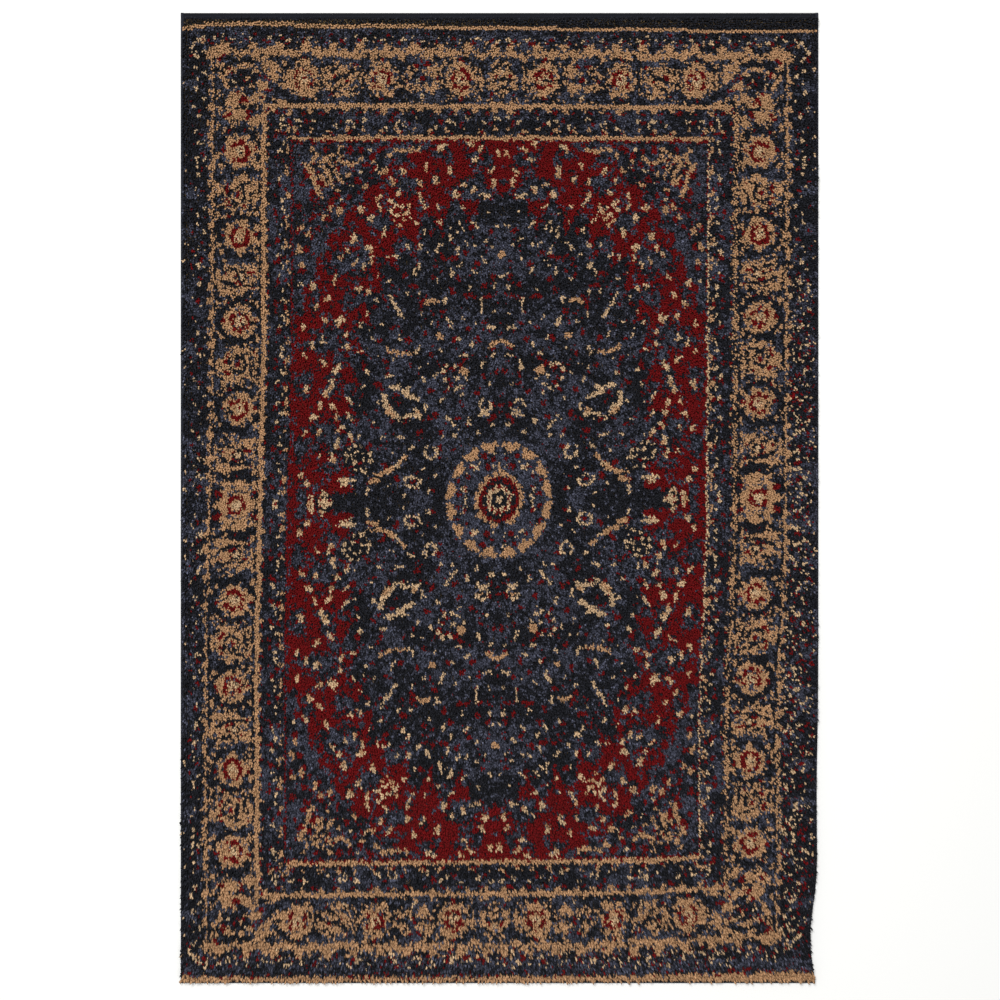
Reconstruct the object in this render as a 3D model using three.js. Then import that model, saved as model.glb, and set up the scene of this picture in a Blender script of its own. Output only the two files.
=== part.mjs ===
// A machine-woven cut-pile area rug, 4 ft by 6 ft, lying flat.
// It is built up as the real one is: a latex-coated back, a ground weave with a selvedge at each
// side, pile in zones of the design, overlocked sides with a cord inside, and taped ends.
// Units are millimetres. X runs across the width, Y along the length, and Z up from the floor.
// The origin is on the floor, under the middle of the rug.

import * as THREE from 'three';

// Overall size
const RUG_WIDTH = 1190;
const RUG_LENGTH = 1810;

// Layers, upwards from the floor
const COAT = 0.8;
const WEAVE = 1.8;
const WEAVE_TOP = COAT + WEAVE;
const PILE_TOP = 13;

// Overlocked side: yarn wrapped round a cord and the selvedge
const YARN_WALL = 0.8;
const CORD_RADIUS = 1.5;
const SELVEDGE_GRIP = 2.4;
const CORD_X = RUG_WIDTH / 2 - YARN_WALL - CORD_RADIUS;
const CORD_Z = COAT + CORD_RADIUS;
const SELVEDGE_X = CORD_X - CORD_RADIUS;
const PILE_X = SELVEDGE_X - SELVEDGE_GRIP;

// Taped end: woven tape folded round the cut end of the weave
const TAPE_WIDTH = 12;
const TAPE_WALL = 0.8;
const WEAVE_END_Y = RUG_LENGTH / 2 - TAPE_WALL;
const PILE_Y = RUG_LENGTH / 2 - TAPE_WIDTH;
const STITCH_WIDTH = 0.8;
const STITCH_HEIGHT = 0.4;
const STITCH_INSET = 5;

// Zones of the design: half widths and half lengths of the nested frames, outermost first
const END_LINE = 10;
const GUARD_OUTSIDE = [PILE_X, PILE_Y - END_LINE];
const BORDER_OUTSIDE = [545, 840];
const BORDER_INSIDE = [434, 730];
const LINE_OUTSIDE = [391, 677];
const FIELD = [386, 670];

// The arcade's outer edge, towards the spandrels, and its cusped inner edge, towards the dark ground
const ARCH = { across: 430, along: 705, roundness: 2.1, waves: 16, depth: 0.02, steps: 96 };
const ARCADE = { across: 300, along: 565, roundness: 2.7, bays: 12, depth: 0.1 };
const STEPS_PER_BAY = 6;

// Medallion: half width and half length of each ring's outer edge
const MEDALLION = [101, 109];
const PETALS = 16;
const PETAL_BULGE = 0.05;
const PETALS_INSIDE = [83, 90];
const INNER_RING = [50, 54];
const HEART = [41, 45];
const STEPS_PER_PETAL = 6;

const NAVY = 0x1c1e26;
const SLATE = 0x3c3f50;
const CRIMSON = 0x73101a;
const TAN = 0xb48c5f;
const CREAM = 0xcdaf7d;
const LATEX = 0xc9bda3;
const JUTE = 0xa98f66;

const rug = new THREE.Group();

function addPiece(name, geometry, color, roughness) {
  const material = new THREE.MeshStandardMaterial({ color, roughness, metalness: 0 });
  const piece = new THREE.Mesh(geometry, material);
  piece.name = name;
  rug.add(piece);
}

function toVectors(points) {
  return points.map(([x, y]) => new THREE.Vector2(x, y));
}

// A flat layer with the given outline and openings, between two heights.
function layer(outline, openings, low, high) {
  const shape = new THREE.Shape(toVectors(outline));
  shape.holes = openings.map((opening) => new THREE.Path(toVectors(opening)));
  const geometry = new THREE.ExtrudeGeometry(shape, { depth: high - low, bevelEnabled: false });
  return geometry.translate(0, 0, low);
}

function pile(outline, openings = []) {
  return layer(outline, openings, WEAVE_TOP, PILE_TOP);
}

function rectangle([halfWidth, halfLength]) {
  return [
    [-halfWidth, -halfLength],
    [halfWidth, -halfLength],
    [halfWidth, halfLength],
    [-halfWidth, halfLength],
  ];
}

// A quarter curve, from the +X side to the +Y end, repeated in the other three quarters.
function fourQuarters(quarter) {
  const back = [...quarter].reverse();
  const mirrored = (points, x, y) => points.map(([px, py]) => [x * px, y * py]);
  const all = [
    ...quarter,
    ...mirrored(back, -1, 1),
    ...mirrored(quarter, -1, -1),
    ...mirrored(back, 1, -1),
  ];
  const apart = ([ax, ay], [bx, by]) => Math.hypot(ax - bx, ay - by) > 1e-6;
  return all.filter((point, i) => apart(point, all[(i + 1) % all.length]));
}

// One quarter of a rounded oval, from the +X side to the +Y end.
class QuarterOval extends THREE.Curve {
  constructor({ across, along, roundness }) {
    super();
    this.across = across;
    this.along = along;
    this.power = 2 / roundness;
  }

  getPoint(part, point = new THREE.Vector2()) {
    const t = (Math.PI / 2) * part;
    const x = this.across * Math.max(Math.cos(t), 0) ** this.power;
    const y = this.along * Math.sin(t) ** this.power;
    return point.set(x, y);
  }
}

// Points evenly spaced along a quarter oval, each drawn in by its own share.
function quarterEdge(oval, steps, inset) {
  const curve = new QuarterOval(oval);
  curve.arcLengthDivisions = 2000;
  return curve.getSpacedPoints(steps).map(({ x, y }, i) => {
    const factor = 1 - inset(i);
    return [factor * x, factor * y];
  });
}

// The arcade's outer edge in one quarter, in shallow waves, cut off by the field's side and end.
function archQuarter() {
  const wave = (i) => ARCH.depth * Math.sin(Math.PI * (i / ARCH.steps) * ARCH.waves) ** 2;
  const points = quarterEdge(ARCH, ARCH.steps, wave);
  const inside = points.filter(([x, y]) => x < FIELD[0] - 1 && y < FIELD[1] - 1);
  return [[FIELD[0], inside[0][1]], ...inside, [inside.at(-1)[0], FIELD[1]]];
}

// The arcade's inner edge in one quarter: round bays that meet in cusps, with a wide bay across
// each axis.
function arcadeQuarter() {
  const steps = ARCADE.bays * STEPS_PER_BAY;
  const cusp = (i) => {
    const nearAxis = Math.min(i, steps - i) < STEPS_PER_BAY / 2;
    const bay = i / STEPS_PER_BAY;
    return nearAxis ? 0 : ARCADE.depth * (1 - Math.abs(Math.sin(Math.PI * bay)));
  };
  return quarterEdge(ARCADE, steps, cusp);
}

// A ring's edge round the middle of the medallion. Its petals bulge by the given share.
function medallionEdge([across, along], bulge) {
  const steps = PETALS * STEPS_PER_PETAL;
  return Array.from({ length: steps }, (_, i) => {
    const t = (2 * Math.PI * i) / steps;
    const factor = 1 - bulge + bulge * Math.abs(Math.sin((PETALS / 2) * t));
    return [factor * across * Math.cos(t), factor * along * Math.sin(t)];
  });
}

// A section in X and Z, run along the whole length.
function runAlongLength(section, length) {
  const shape = new THREE.Shape(toVectors(section));
  const geometry = new THREE.ExtrudeGeometry(shape, { depth: length, bevelEnabled: false });
  const acrossAxis = new THREE.Vector3(1, 0, 0);
  const upAxis = new THREE.Vector3(0, 0, 1);
  const runAxis = new THREE.Vector3(0, -1, 0);
  geometry.applyMatrix4(new THREE.Matrix4().makeBasis(acrossAxis, upAxis, runAxis));
  return geometry.translate(0, length / 2, 0);
}

// A section in Y and Z, run across the width.
function runAcrossWidth(section, width) {
  const shape = new THREE.Shape(toVectors(section));
  const geometry = new THREE.ExtrudeGeometry(shape, { depth: width, bevelEnabled: false });
  const alongAxis = new THREE.Vector3(0, 1, 0);
  const upAxis = new THREE.Vector3(0, 0, 1);
  const runAxis = new THREE.Vector3(1, 0, 0);
  geometry.applyMatrix4(new THREE.Matrix4().makeBasis(alongAxis, upAxis, runAxis));
  return geometry.translate(-width / 2, 0, 0);
}

function flipped(section) {
  return section.map(([x, z]) => [-x, z]);
}

// The back and the ground weave. The weave's outermost warps are the selvedges that the
// overlocking grips, and its cut ends are folded into the tapes.
function addFoundation() {
  const coat = layer(rectangle([PILE_X, PILE_Y]), [], 0, COAT);
  addPiece('latex_backing', coat, LATEX, 0.9);
  const weave = layer(rectangle([SELVEDGE_X, WEAVE_END_Y]), [], COAT, WEAVE_TOP);
  addPiece('ground_weave', weave, JUTE, 0.95);
}

// The eight corners of the cord that stiffens an overlocked side.
function cordSection() {
  const half = CORD_RADIUS * Math.tan(Math.PI / 8);
  return [
    [CORD_X - CORD_RADIUS, CORD_Z - half],
    [CORD_X - half, CORD_Z - CORD_RADIUS],
    [CORD_X + half, CORD_Z - CORD_RADIUS],
    [CORD_X + CORD_RADIUS, CORD_Z - half],
    [CORD_X + CORD_RADIUS, CORD_Z + half],
    [CORD_X + half, CORD_Z + CORD_RADIUS],
    [CORD_X - half, CORD_Z + CORD_RADIUS],
    [CORD_X - CORD_RADIUS, CORD_Z + half],
  ];
}

// The wrapped yarn: open towards the rug, where it takes in the selvedge.
function overlockSection() {
  const outside = RUG_WIDTH / 2;
  const top = CORD_Z + CORD_RADIUS + YARN_WALL;
  const ease = CORD_RADIUS;
  const cavity = cordSection().slice(1).reverse();
  return [
    [PILE_X, 0],
    [outside - ease, 0],
    [outside, ease],
    [outside, top - ease],
    [outside - ease, top],
    [CORD_X - CORD_RADIUS / 2, top],
    [SELVEDGE_X - YARN_WALL, WEAVE_TOP + YARN_WALL],
    [PILE_X, WEAVE_TOP + YARN_WALL],
    [PILE_X, WEAVE_TOP],
    [SELVEDGE_X, WEAVE_TOP],
    ...cavity,
    [PILE_X, COAT],
  ];
}

function addSides() {
  addPiece('side_cord_right', runAlongLength(cordSection(), RUG_LENGTH), JUTE, 0.95);
  addPiece('side_cord_left', runAlongLength(flipped(cordSection()), RUG_LENGTH), JUTE, 0.95);
  addPiece('side_overlock_right', runAlongLength(overlockSection(), RUG_LENGTH), NAVY, 0.8);
  addPiece('side_overlock_left', runAlongLength(flipped(overlockSection()), RUG_LENGTH), NAVY, 0.8);
}

// The tape: one leaf under the weave, one over it, joined round the cut end.
function tapeSection() {
  return [
    [PILE_Y, 0],
    [RUG_LENGTH / 2, 0],
    [RUG_LENGTH / 2, WEAVE_TOP + TAPE_WALL],
    [PILE_Y, WEAVE_TOP + TAPE_WALL],
    [PILE_Y, WEAVE_TOP],
    [WEAVE_END_Y, WEAVE_TOP],
    [WEAVE_END_Y, COAT],
    [PILE_Y, COAT],
  ];
}

// The row of lockstitch that closes the tape, lying on its upper leaf.
function stitchSection() {
  const y = PILE_Y + STITCH_INSET;
  const low = WEAVE_TOP + TAPE_WALL;
  return [
    [y, low],
    [y + STITCH_WIDTH, low],
    [y + STITCH_WIDTH, low + STITCH_HEIGHT],
    [y, low + STITCH_HEIGHT],
  ];
}

function addEnds() {
  const width = 2 * PILE_X;
  addPiece('end_tape_far', runAcrossWidth(tapeSection(), width), NAVY, 0.85);
  addPiece('end_tape_near', runAcrossWidth(flipped(tapeSection()), width), NAVY, 0.85);
  addPiece('end_stitch_far', runAcrossWidth(stitchSection(), width), SLATE, 0.6);
  addPiece('end_stitch_near', runAcrossWidth(flipped(stitchSection()), width), SLATE, 0.6);
}

// One frame of the design as four strips, mitred at the corners.
function addFrame(name, [outX, outY], [inX, inY], color) {
  const far = [[-inX, inY], [inX, inY], [outX, outY], [-outX, outY]];
  const right = [[inX, -inY], [outX, -outY], [outX, outY], [inX, inY]];
  addPiece(`${name}_far`, pile(far), color, 0.9);
  addPiece(`${name}_near`, pile(far.map(([x, y]) => [x, -y])), color, 0.9);
  addPiece(`${name}_right`, pile(right), color, 0.9);
  addPiece(`${name}_left`, pile(right.map(([x, y]) => [-x, y])), color, 0.9);
}

function addBorders() {
  const [endX, endY] = GUARD_OUTSIDE;
  const endLine = [[-endX, endY], [endX, endY], [endX, PILE_Y], [-endX, PILE_Y]];
  addPiece('pile_end_line_far', pile(endLine), TAN, 0.9);
  addPiece('pile_end_line_near', pile(endLine.map(([x, y]) => [x, -y])), TAN, 0.9);
  addFrame('pile_outer_guard', GUARD_OUTSIDE, BORDER_OUTSIDE, SLATE);
  addFrame('pile_main_border', BORDER_OUTSIDE, BORDER_INSIDE, TAN);
  addFrame('pile_inner_guard', BORDER_INSIDE, LINE_OUTSIDE, NAVY);
  addFrame('pile_field_line', LINE_OUTSIDE, FIELD, CREAM);
}

// The corner pieces of the field, outside the arcade.
function addSpandrels(arch) {
  const corner = [...arch, FIELD];
  const spots = [['far_right', 1, 1], ['far_left', -1, 1], ['near_left', -1, -1], ['near_right', 1, -1]];
  for (const [spot, x, y] of spots) {
    const outline = corner.map(([px, py]) => [x * px, y * py]);
    addPiece(`pile_spandrel_${spot}`, pile(outline), SLATE, 0.9);
  }
}

function addField() {
  const arch = archQuarter();
  const arcade = fourQuarters(arcadeQuarter());
  const petals = medallionEdge(MEDALLION, PETAL_BULGE);
  addSpandrels(arch);
  addPiece('pile_red_arcade', pile(fourQuarters(arch), [arcade]), CRIMSON, 0.9);
  addPiece('pile_dark_ground', pile(arcade, [petals]), NAVY, 0.9);
}

function addMedallion() {
  const petals = medallionEdge(MEDALLION, PETAL_BULGE);
  const petalsInside = medallionEdge(PETALS_INSIDE, 0);
  const innerRing = medallionEdge(INNER_RING, PETAL_BULGE);
  const heart = medallionEdge(HEART, 0);
  addPiece('pile_medallion_petals', pile(petals, [petalsInside]), TAN, 0.9);
  addPiece('pile_medallion_ground', pile(petalsInside, [innerRing]), SLATE, 0.9);
  addPiece('pile_medallion_ring', pile(innerRing, [heart]), TAN, 0.9);
  addPiece('pile_medallion_heart', pile(heart), CRIMSON, 0.9);
}

addFoundation();
addSides();
addEnds();
addBorders();
addField();
addMedallion();

export default rug;
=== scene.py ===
import copy
import math

import bpy
import numpy as np
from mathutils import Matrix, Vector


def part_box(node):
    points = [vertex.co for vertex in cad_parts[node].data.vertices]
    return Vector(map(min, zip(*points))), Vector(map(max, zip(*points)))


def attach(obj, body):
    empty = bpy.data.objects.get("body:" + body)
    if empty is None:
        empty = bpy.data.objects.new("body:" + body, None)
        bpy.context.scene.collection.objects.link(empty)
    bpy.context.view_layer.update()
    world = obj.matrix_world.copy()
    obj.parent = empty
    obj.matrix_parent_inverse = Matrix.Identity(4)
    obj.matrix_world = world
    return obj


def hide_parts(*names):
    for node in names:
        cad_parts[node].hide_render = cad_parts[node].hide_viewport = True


# A face-to-face woven rug. Its design is drawn on point paper, one square to a tuft, and each
# square becomes a leaning tuft of heat-set yarn. Under the pile are the ground weave and its latex
# coat, and round it the overlocked sides and the taped ends. Sizes in this file are millimetres
# until a mesh is made.

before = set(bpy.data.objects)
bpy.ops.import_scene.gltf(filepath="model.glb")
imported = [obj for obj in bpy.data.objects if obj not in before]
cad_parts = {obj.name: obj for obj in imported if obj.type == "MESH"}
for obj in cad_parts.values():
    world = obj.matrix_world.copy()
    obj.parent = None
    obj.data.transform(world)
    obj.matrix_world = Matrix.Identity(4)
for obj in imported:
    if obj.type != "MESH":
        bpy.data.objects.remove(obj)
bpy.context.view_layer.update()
MM = 0.001


# ---------------------------------------------------------------- sizes, from the frame

def reach(node, axis):
    """How far a CAD node reaches along X (0), Y (1) or Z (2)."""
    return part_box(node)[1][axis] / MM


def reaches(node):
    """How far a CAD node reaches along X, Y and Z."""
    return tuple(reach(node, axis) for axis in range(3))


def frame_reach(name):
    """Half width and half length of the outside of one frame of the design."""
    return reach(f"{name}_right", 0), reach(f"{name}_far", 1)


HALF_WIDTH = reach("side_overlock_right", 0)
HALF_LENGTH = reach("end_tape_far", 1)
PILE_X, PILE_Y, COAT = reaches("latex_backing")
SELVEDGE_X, WEAVE_END_Y, WEAVE_TOP = reaches("ground_weave")
TAPE_TOP = reach("end_tape_far", 2)
CORD_OUTSIDE = reach("side_cord_right", 0)
CORD_TOP = reach("side_cord_right", 2)
CORD_RADIUS = (CORD_TOP - COAT) / 2
PILE_TOP = reach("pile_dark_ground", 2)
GUARD = frame_reach("pile_outer_guard")
BORDER = frame_reach("pile_main_border")
INNER_GUARD = frame_reach("pile_inner_guard")
LINE = frame_reach("pile_field_line")
FIELD = reaches("pile_spandrel_far_right")[:2]
ARCADE = reaches("pile_dark_ground")[:2]
RINGS = [reaches(f"pile_medallion_{name}")[:2] for name in ("petals", "ground", "ring", "heart")]

# One quarter of the point paper, in tufts
COLUMNS = 210
ROWS = 319
COLUMN_PITCH = PILE_X / COLUMNS
ROW_PITCH = PILE_Y / ROWS

# The pile: a tuft leans towards the near end and a little to the right. SWAY is how much its lean
# changes in slow waves, OWN_LEAN by chance, and NEAR_LEAN how much more it lies over at the near end.
TUFT_LENGTH = 11.2
LEAN = np.array([0.20, -0.52, 0.83])
SWAY = 0.06
OWN_LEAN = 0.10
NEAR_LEAN = 0.34
ROOT_RADIUS = 1.0
TIP_RADIUS = 1.95
ROOT_DEPTH = 0.2

# Yarn colours, and the index of each on the point paper
NAVY, SLATE, CRIMSON, TAN, CREAM = range(5)
YARN_COLOURS = ["#1A1B21", "#3F414E", "#670306", "#B98F69", "#CCAC87"]
SEED = 1810


# ---------------------------------------------------------------- point paper

def oval_edge(across, along, roundness, steps, inset):
    """One quarter of a rounded oval, in even steps along it, each drawn in by its own share."""
    t = np.linspace(0, math.pi / 2, 2001)
    x = across * np.cos(t).clip(0) ** (2 / roundness)
    y = along * np.sin(t) ** (2 / roundness)
    length = np.concatenate([[0], np.cumsum(np.hypot(np.diff(x), np.diff(y)))])
    even = np.linspace(0, length[-1], steps + 1)
    factor = 1 - inset(np.arange(steps + 1))
    return factor * np.interp(even, length, x), factor * np.interp(even, length, y)


def arch_edge():
    """The arcade's outer edge, in shallow waves."""
    steps = 96
    waves = 16
    return oval_edge(430, 705, 2.1, steps, lambda i: 0.02 * np.sin(np.pi * waves * i / steps) ** 2)


def arcade_edge():
    """The arcade's inner edge: round bays that meet in cusps, with a wide bay across each axis."""
    bay = 6
    steps = 12 * bay

    def cusp(i):
        near_axis = np.minimum(i, steps - i) < bay / 2
        return np.where(near_axis, 0, 0.1 * (1 - np.abs(np.sin(np.pi * i / bay))))

    return oval_edge(*ARCADE, 2.7, steps, cusp)


def inside(edge, x, y):
    """Which places are inside a quarter's edge."""
    across, along = edge
    angle = np.arctan2(along, across)
    radius = np.interp(np.arctan2(np.abs(y), np.abs(x)), angle, np.hypot(across, along))
    return np.hypot(x, y) < radius


def within(size, x, y):
    """Which places are inside a rectangle of that half width and half length."""
    return (np.abs(x) < size[0]) & (np.abs(y) < size[1])


def medallion_ring(size, x, y, bulge=0.0):
    """Which places are inside one ring of the medallion, with sixteen petals of that bulge."""
    angle = np.arctan2(y / size[1], x / size[0])
    edge = 1 - bulge + bulge * np.abs(np.sin(8 * angle))
    return np.hypot(x / size[0], y / size[1]) < edge


class PointPaper:
    """The design of the far right quarter. The other quarters mirror it."""

    def __init__(self):
        self.chance = np.random.default_rng(SEED)
        across = (np.arange(COLUMNS) + 0.5) * COLUMN_PITCH
        along = (np.arange(ROWS) + 0.5) * ROW_PITCH
        self.x, self.y = np.meshgrid(across, along)
        self.yarn = np.full(self.x.shape, NAVY)
        self.edge_noise = 0.8 * self.cloud(5) + 0.6 * self.cloud(11) - 0.7
        self.wear_noise = 0.75 * self.cloud(6) + 0.25 * self.chance.random(self.x.shape)

    def at(self, x, y):
        """The same paper, with its zero moved to that place."""
        moved = copy.copy(self)
        moved.x = self.x - x
        moved.y = self.y - y
        return moved

    def cloud(self, size):
        """Unevenness from 0 to 1, in soft patches of that size."""
        u = self.x / size
        v = self.y / size
        coarse = self.chance.random((int(v.max()) + 2, int(u.max()) + 2))
        i = u.astype(int)
        j = v.astype(int)
        s = (u - i) ** 2 * (3 - 2 * (u - i))
        t = (v - j) ** 2 * (3 - 2 * (v - j))
        low = coarse[j, i] * (1 - s) + coarse[j, i + 1] * s
        high = coarse[j + 1, i] * (1 - s) + coarse[j + 1, i + 1] * s
        return low * (1 - t) + high * t

    def paint(self, where, yarn, wear=0.0):
        """Give those tufts a yarn. wear sets how many of them are left as they were."""
        if wear:
            where = where & (self.wear_noise > 0.12 + 0.76 * wear)
        self.yarn[where] = yarn

    def mottle(self, where, yarn, share, patch=30.0, patchy=0.45):
        """Specks of another yarn on a share of the tufts, thicker in some patches."""
        grain = self.chance.random(self.x.shape)
        grain = grain + np.roll(grain, 1, axis=0)
        grain = grain + np.roll(grain, 1, axis=1)
        field = grain / 4 + patchy * (self.cloud(patch) + 0.7 * self.cloud(patch / 3))
        self.yarn[where & (field < np.quantile(field[where], share))] = yarn

    def dab(self, x, y, half_width, half_length, yarn, turn=0.0, rag=0.5, wear=0.0):
        """An oval patch. turn is anticlockwise, in degrees."""
        cos = math.cos(math.radians(turn))
        sin = math.sin(math.radians(turn))
        u = ((self.x - x) * cos + (self.y - y) * sin) / half_width
        v = ((self.y - y) * cos - (self.x - x) * sin) / half_length
        self.paint(np.hypot(u, v) < 1 + rag * self.edge_noise, yarn, wear)

    def fleck(self, x, y, half_width, half_length, yarn, turn=0.0, wear=0.0):
        """A small patch with a very ragged edge."""
        self.dab(x, y, half_width, half_length, yarn, turn, 1.0, wear)

    def ring(self, x, y, half_width, half_length, thickness, yarn, wear=0.0):
        """An oval band of that thickness, with its middle at that half width and half length."""
        radius = np.hypot((self.x - x) / half_width, (self.y - y) / half_length)
        gap = np.abs(radius - 1 + 0.2 * self.edge_noise) * (half_width + half_length) / 2
        self.paint(gap < thickness / 2, yarn, wear)

    def stroke(self, points, thickness, yarn, rag=0.6, wear=0.0):
        """A line with round ends, from point to point."""
        near = np.full(self.x.shape, np.inf)
        for (ax, ay), (bx, by) in zip(points, points[1:]):
            dx = bx - ax
            dy = by - ay
            part = ((self.x - ax) * dx + (self.y - ay) * dy) / (dx * dx + dy * dy)
            part = part.clip(0, 1)
            near = np.minimum(near, np.hypot(self.x - ax - part * dx, self.y - ay - part * dy))
        self.paint(near < thickness / 2 * (1 + rag * self.edge_noise), yarn, wear)

    def dots(self, places, size, yarn, rag=0.8):
        """Round spots of that size across."""
        for x, y in places:
            self.dab(x, y, size / 2, size / 2, yarn, rag=rag)


def paint_grounds(paper):
    """The plain colour of each zone, and the specks of the other dark yarn in it."""
    x, y = paper.x, paper.y
    every = np.ones(x.shape, bool)
    paper.mottle(every, SLATE, 0.36, 36)
    guard = ~within(BORDER, x, y)
    paper.paint(guard, NAVY)
    paper.mottle(guard, SLATE, 0.30, 24)
    paper.mottle(guard & (y > BORDER[1]), SLATE, 0.18, 16)
    edge = 1 + 0.05 * paper.edge_noise
    spandrel = within(FIELD, x, y) & ~inside(arch_edge(), x * edge, y * edge)
    paper.paint(spandrel, NAVY)
    paper.mottle(spandrel, SLATE, 0.50, 26)
    paper.mottle(spandrel, CRIMSON, 0.05, 14, 0.9)
    arcade = within(FIELD, x, y) & inside(arch_edge(), x * edge, y * edge)
    arcade &= ~inside(arcade_edge(), x * edge, y * edge)
    paper.paint(arcade, CRIMSON)
    paper.mottle(arcade, SLATE, 0.11, 16, 0.9)
    paper.mottle(arcade, NAVY, 0.06, 12, 0.9)
    ground = inside(arcade_edge(), x, y)
    paper.mottle(ground, CRIMSON, 0.02, 14, 0.9)


def paint_end_line(paper):
    """The tan rows at the very end."""
    ragged = 3 * paper.edge_noise
    paper.paint(paper.y + ragged > GUARD[1], TAN)


def uneven_steps(start, stop, step, stray):
    """Places at even steps, each moved by up to stray."""
    even = np.arange(start, stop, step)
    return even + stray * np.sin(even)


def paint_outer_guard(paper):
    """Broken flowers in a row down the middle of the guard. The row turns the corner in an arc."""
    for y in uneven_steps(14, 800, 39, 8):
        shift = 4 * math.sin(y)
        paper.fleck(562 + shift, y, 2.6, 4.6, CREAM, wear=0.15)
        paper.fleck(558 - shift, y + 10, 2.8, 3.8, CRIMSON)
        paper.fleck(569 - shift, y + 17, 2.4, 3.4, CREAM, wear=0.3)
        paper.dab(584, y + 8, 1.9, 3.0, CREAM, wear=0.5)
        paper.dab(575, y + 27, 2.2, 2.8, CRIMSON, wear=0.4)
        paper.fleck(552, y + 30, 2.2, 3.6, CREAM, wear=0.3)
    for x in np.arange(10, 545, 35):
        shift = 3 * math.sin(x)
        paper.dab(x, 855 + shift, 5.0, 2.6, CREAM, wear=0.15)
        paper.dab(x + 10, 853 - shift, 3.6, 2.8, CRIMSON)
        paper.dab(x + 17, 860 - shift, 2.8, 2.4, CREAM, wear=0.4)
        paper.dab(x + 4, 847, 3.2, 2.4, CRIMSON)
        paper.dab(x + 20, 848, 3.4, 2.4, TAN, wear=0.4)
        paper.dab(x + 27, 865, 2.8, 2.0, CRIMSON, wear=0.5)
    paper.stroke([(562, 818), (575, 834), (567, 849), (551, 860)], 5.5, CREAM, wear=0.2)
    paper.dots([(575, 824), (556, 858)], 6, CRIMSON)


def paint_border_lines(paper):
    """Tan outlines of the main border, with half-round bumps outside and small ones inside."""
    border = within(BORDER, paper.x, paper.y)
    side = paper.x + 3 * paper.edge_noise
    paper.paint(border & (side > 531) & (side < 534), NAVY)
    paper.paint(border & (side > 534.5) & (side < 538), TAN)
    for y in np.arange(27, 820, 54):
        paper.fleck(541, y, 4.8, 6.2, TAN)
        paper.fleck(527, y + 22, 3.8, 7.0, TAN, wear=0.3)
    for y in np.arange(54, 820, 54):
        paper.dab(543, y, 3.0, 6.5, TAN, rag=0.9, wear=0.4)
    end = paper.y + 14 * (paper.edge_noise + 0.1)
    paper.paint(within(BORDER, paper.x, paper.y - 6) & (end > 825) & (end < 837), TAN, wear=0.12)
    for x in np.arange(14, 540, 50):
        paper.dab(x, 842, 8.5, 6.5, TAN, rag=0.9)
        paper.fleck(x + 24, 822, 9.0, 5.0, TAN, wear=0.15)
    inner = ~within((438, 727.5), paper.x, paper.y)
    paper.paint(inner & within((446.5, 737), paper.x + 3 * paper.edge_noise, paper.y), TAN)
    groove = ~within((447.5, 738), paper.x, paper.y) & within((451.5, 740), paper.x, paper.y)
    paper.paint(groove, NAVY, wear=0.3)
    for y in np.arange(20, 725, 28):
        paper.dab(436, y, 3.6, 3.8, TAN)
        paper.dab(433, y + 9, 2.4, 3.6, CRIMSON, wear=0.3)
        paper.fleck(454, y + 14, 3.6, 6.5, TAN, wear=0.2)
    for x in np.arange(16, 430, 34):
        paper.fleck(x, 724, 6.5, 4.5, TAN, wear=0.2)
        paper.dab(x + 12, 719, 4.6, 2.8, CRIMSON, wear=0.2)


# The middle of the main border's motifs, along the sides and along the ends
BORDER_X = 486
BORDER_Y = 781


def side_rosette(paper, y):
    """A ragged tan disc with a broken red ring, in a thin dark ring, with drops over it."""
    at = paper.at(BORDER_X, y)
    at.ring(0, 0, 39, 37, 8, NAVY, wear=0.12)
    at.dab(0, 39, 27, 8, NAVY, rag=0.8)
    at.dots([(-20, 41), (-4, 45), (12, 44), (27, 38)], 8, TAN)
    at.dots([(-33, -30), (34, -28)], 9, TAN)
    at.dots([(-11, 39), (20, 37)], 5, CRIMSON)
    at.dab(0, 0, 31, 30, TAN, rag=0.4)
    at.dots([(-26, 22), (25, -24), (27, 20)], 8, NAVY, rag=1.0)
    at.ring(0, 0, 15, 16, 8.5, CRIMSON, wear=0.5)
    at.dots([(-14, 8), (13, 10), (10, -14)], 8, CRIMSON)
    at.dab(0, 0, 8, 8, CREAM, rag=0.9, wear=0.2)
    at.dots([(-2, 3), (5, -4)], 4, CRIMSON)
    at.dots([(-5, -5), (7, 4)], 3.4, NAVY)
    at.dots([(-30, 2), (31, 3)], 9, CRIMSON)
    at.dots([(-18, 17), (20, -15), (8, 22), (-15, -20)], 5, SLATE)


def central_rosette(paper):
    """The large rosette at the middle of each side, with a red cluster at each quarter."""
    at = paper.at(BORDER_X, 0)
    at.dab(0, 0, 46, 53, NAVY, rag=0.5, wear=0.25)
    at.dab(0, 0, 41, 48, TAN, rag=0.45)
    at.ring(0, 0, 15, 14, 8.5, CRIMSON, wear=0.25)
    at.stroke([(-20, 22), (-4, 27), (12, 22)], 4, SLATE, wear=0.3)
    at.dab(0, 0, 9, 9, CREAM, wear=0.15)
    for side in (-1, 1):
        at.dab(35 * side, 22, 8, 6, CRIMSON, turn=30 * side)
        at.dab(36 * side, 12, 6, 5, NAVY, turn=20 * side)
        at.dab(27 * side, 31, 5, 4, SLATE)
        at.dab(33 * side, 30, 6, 4, NAVY, turn=20)
    at.dab(-4, 55, 36, 8, NAVY)
    at.dab(-10, 57, 11, 9, NAVY)
    at.dots([(16, 53), (22, 58)], 7, TAN)
    at.dots([(0, 54), (-24, 60)], 5, CRIMSON)


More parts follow.
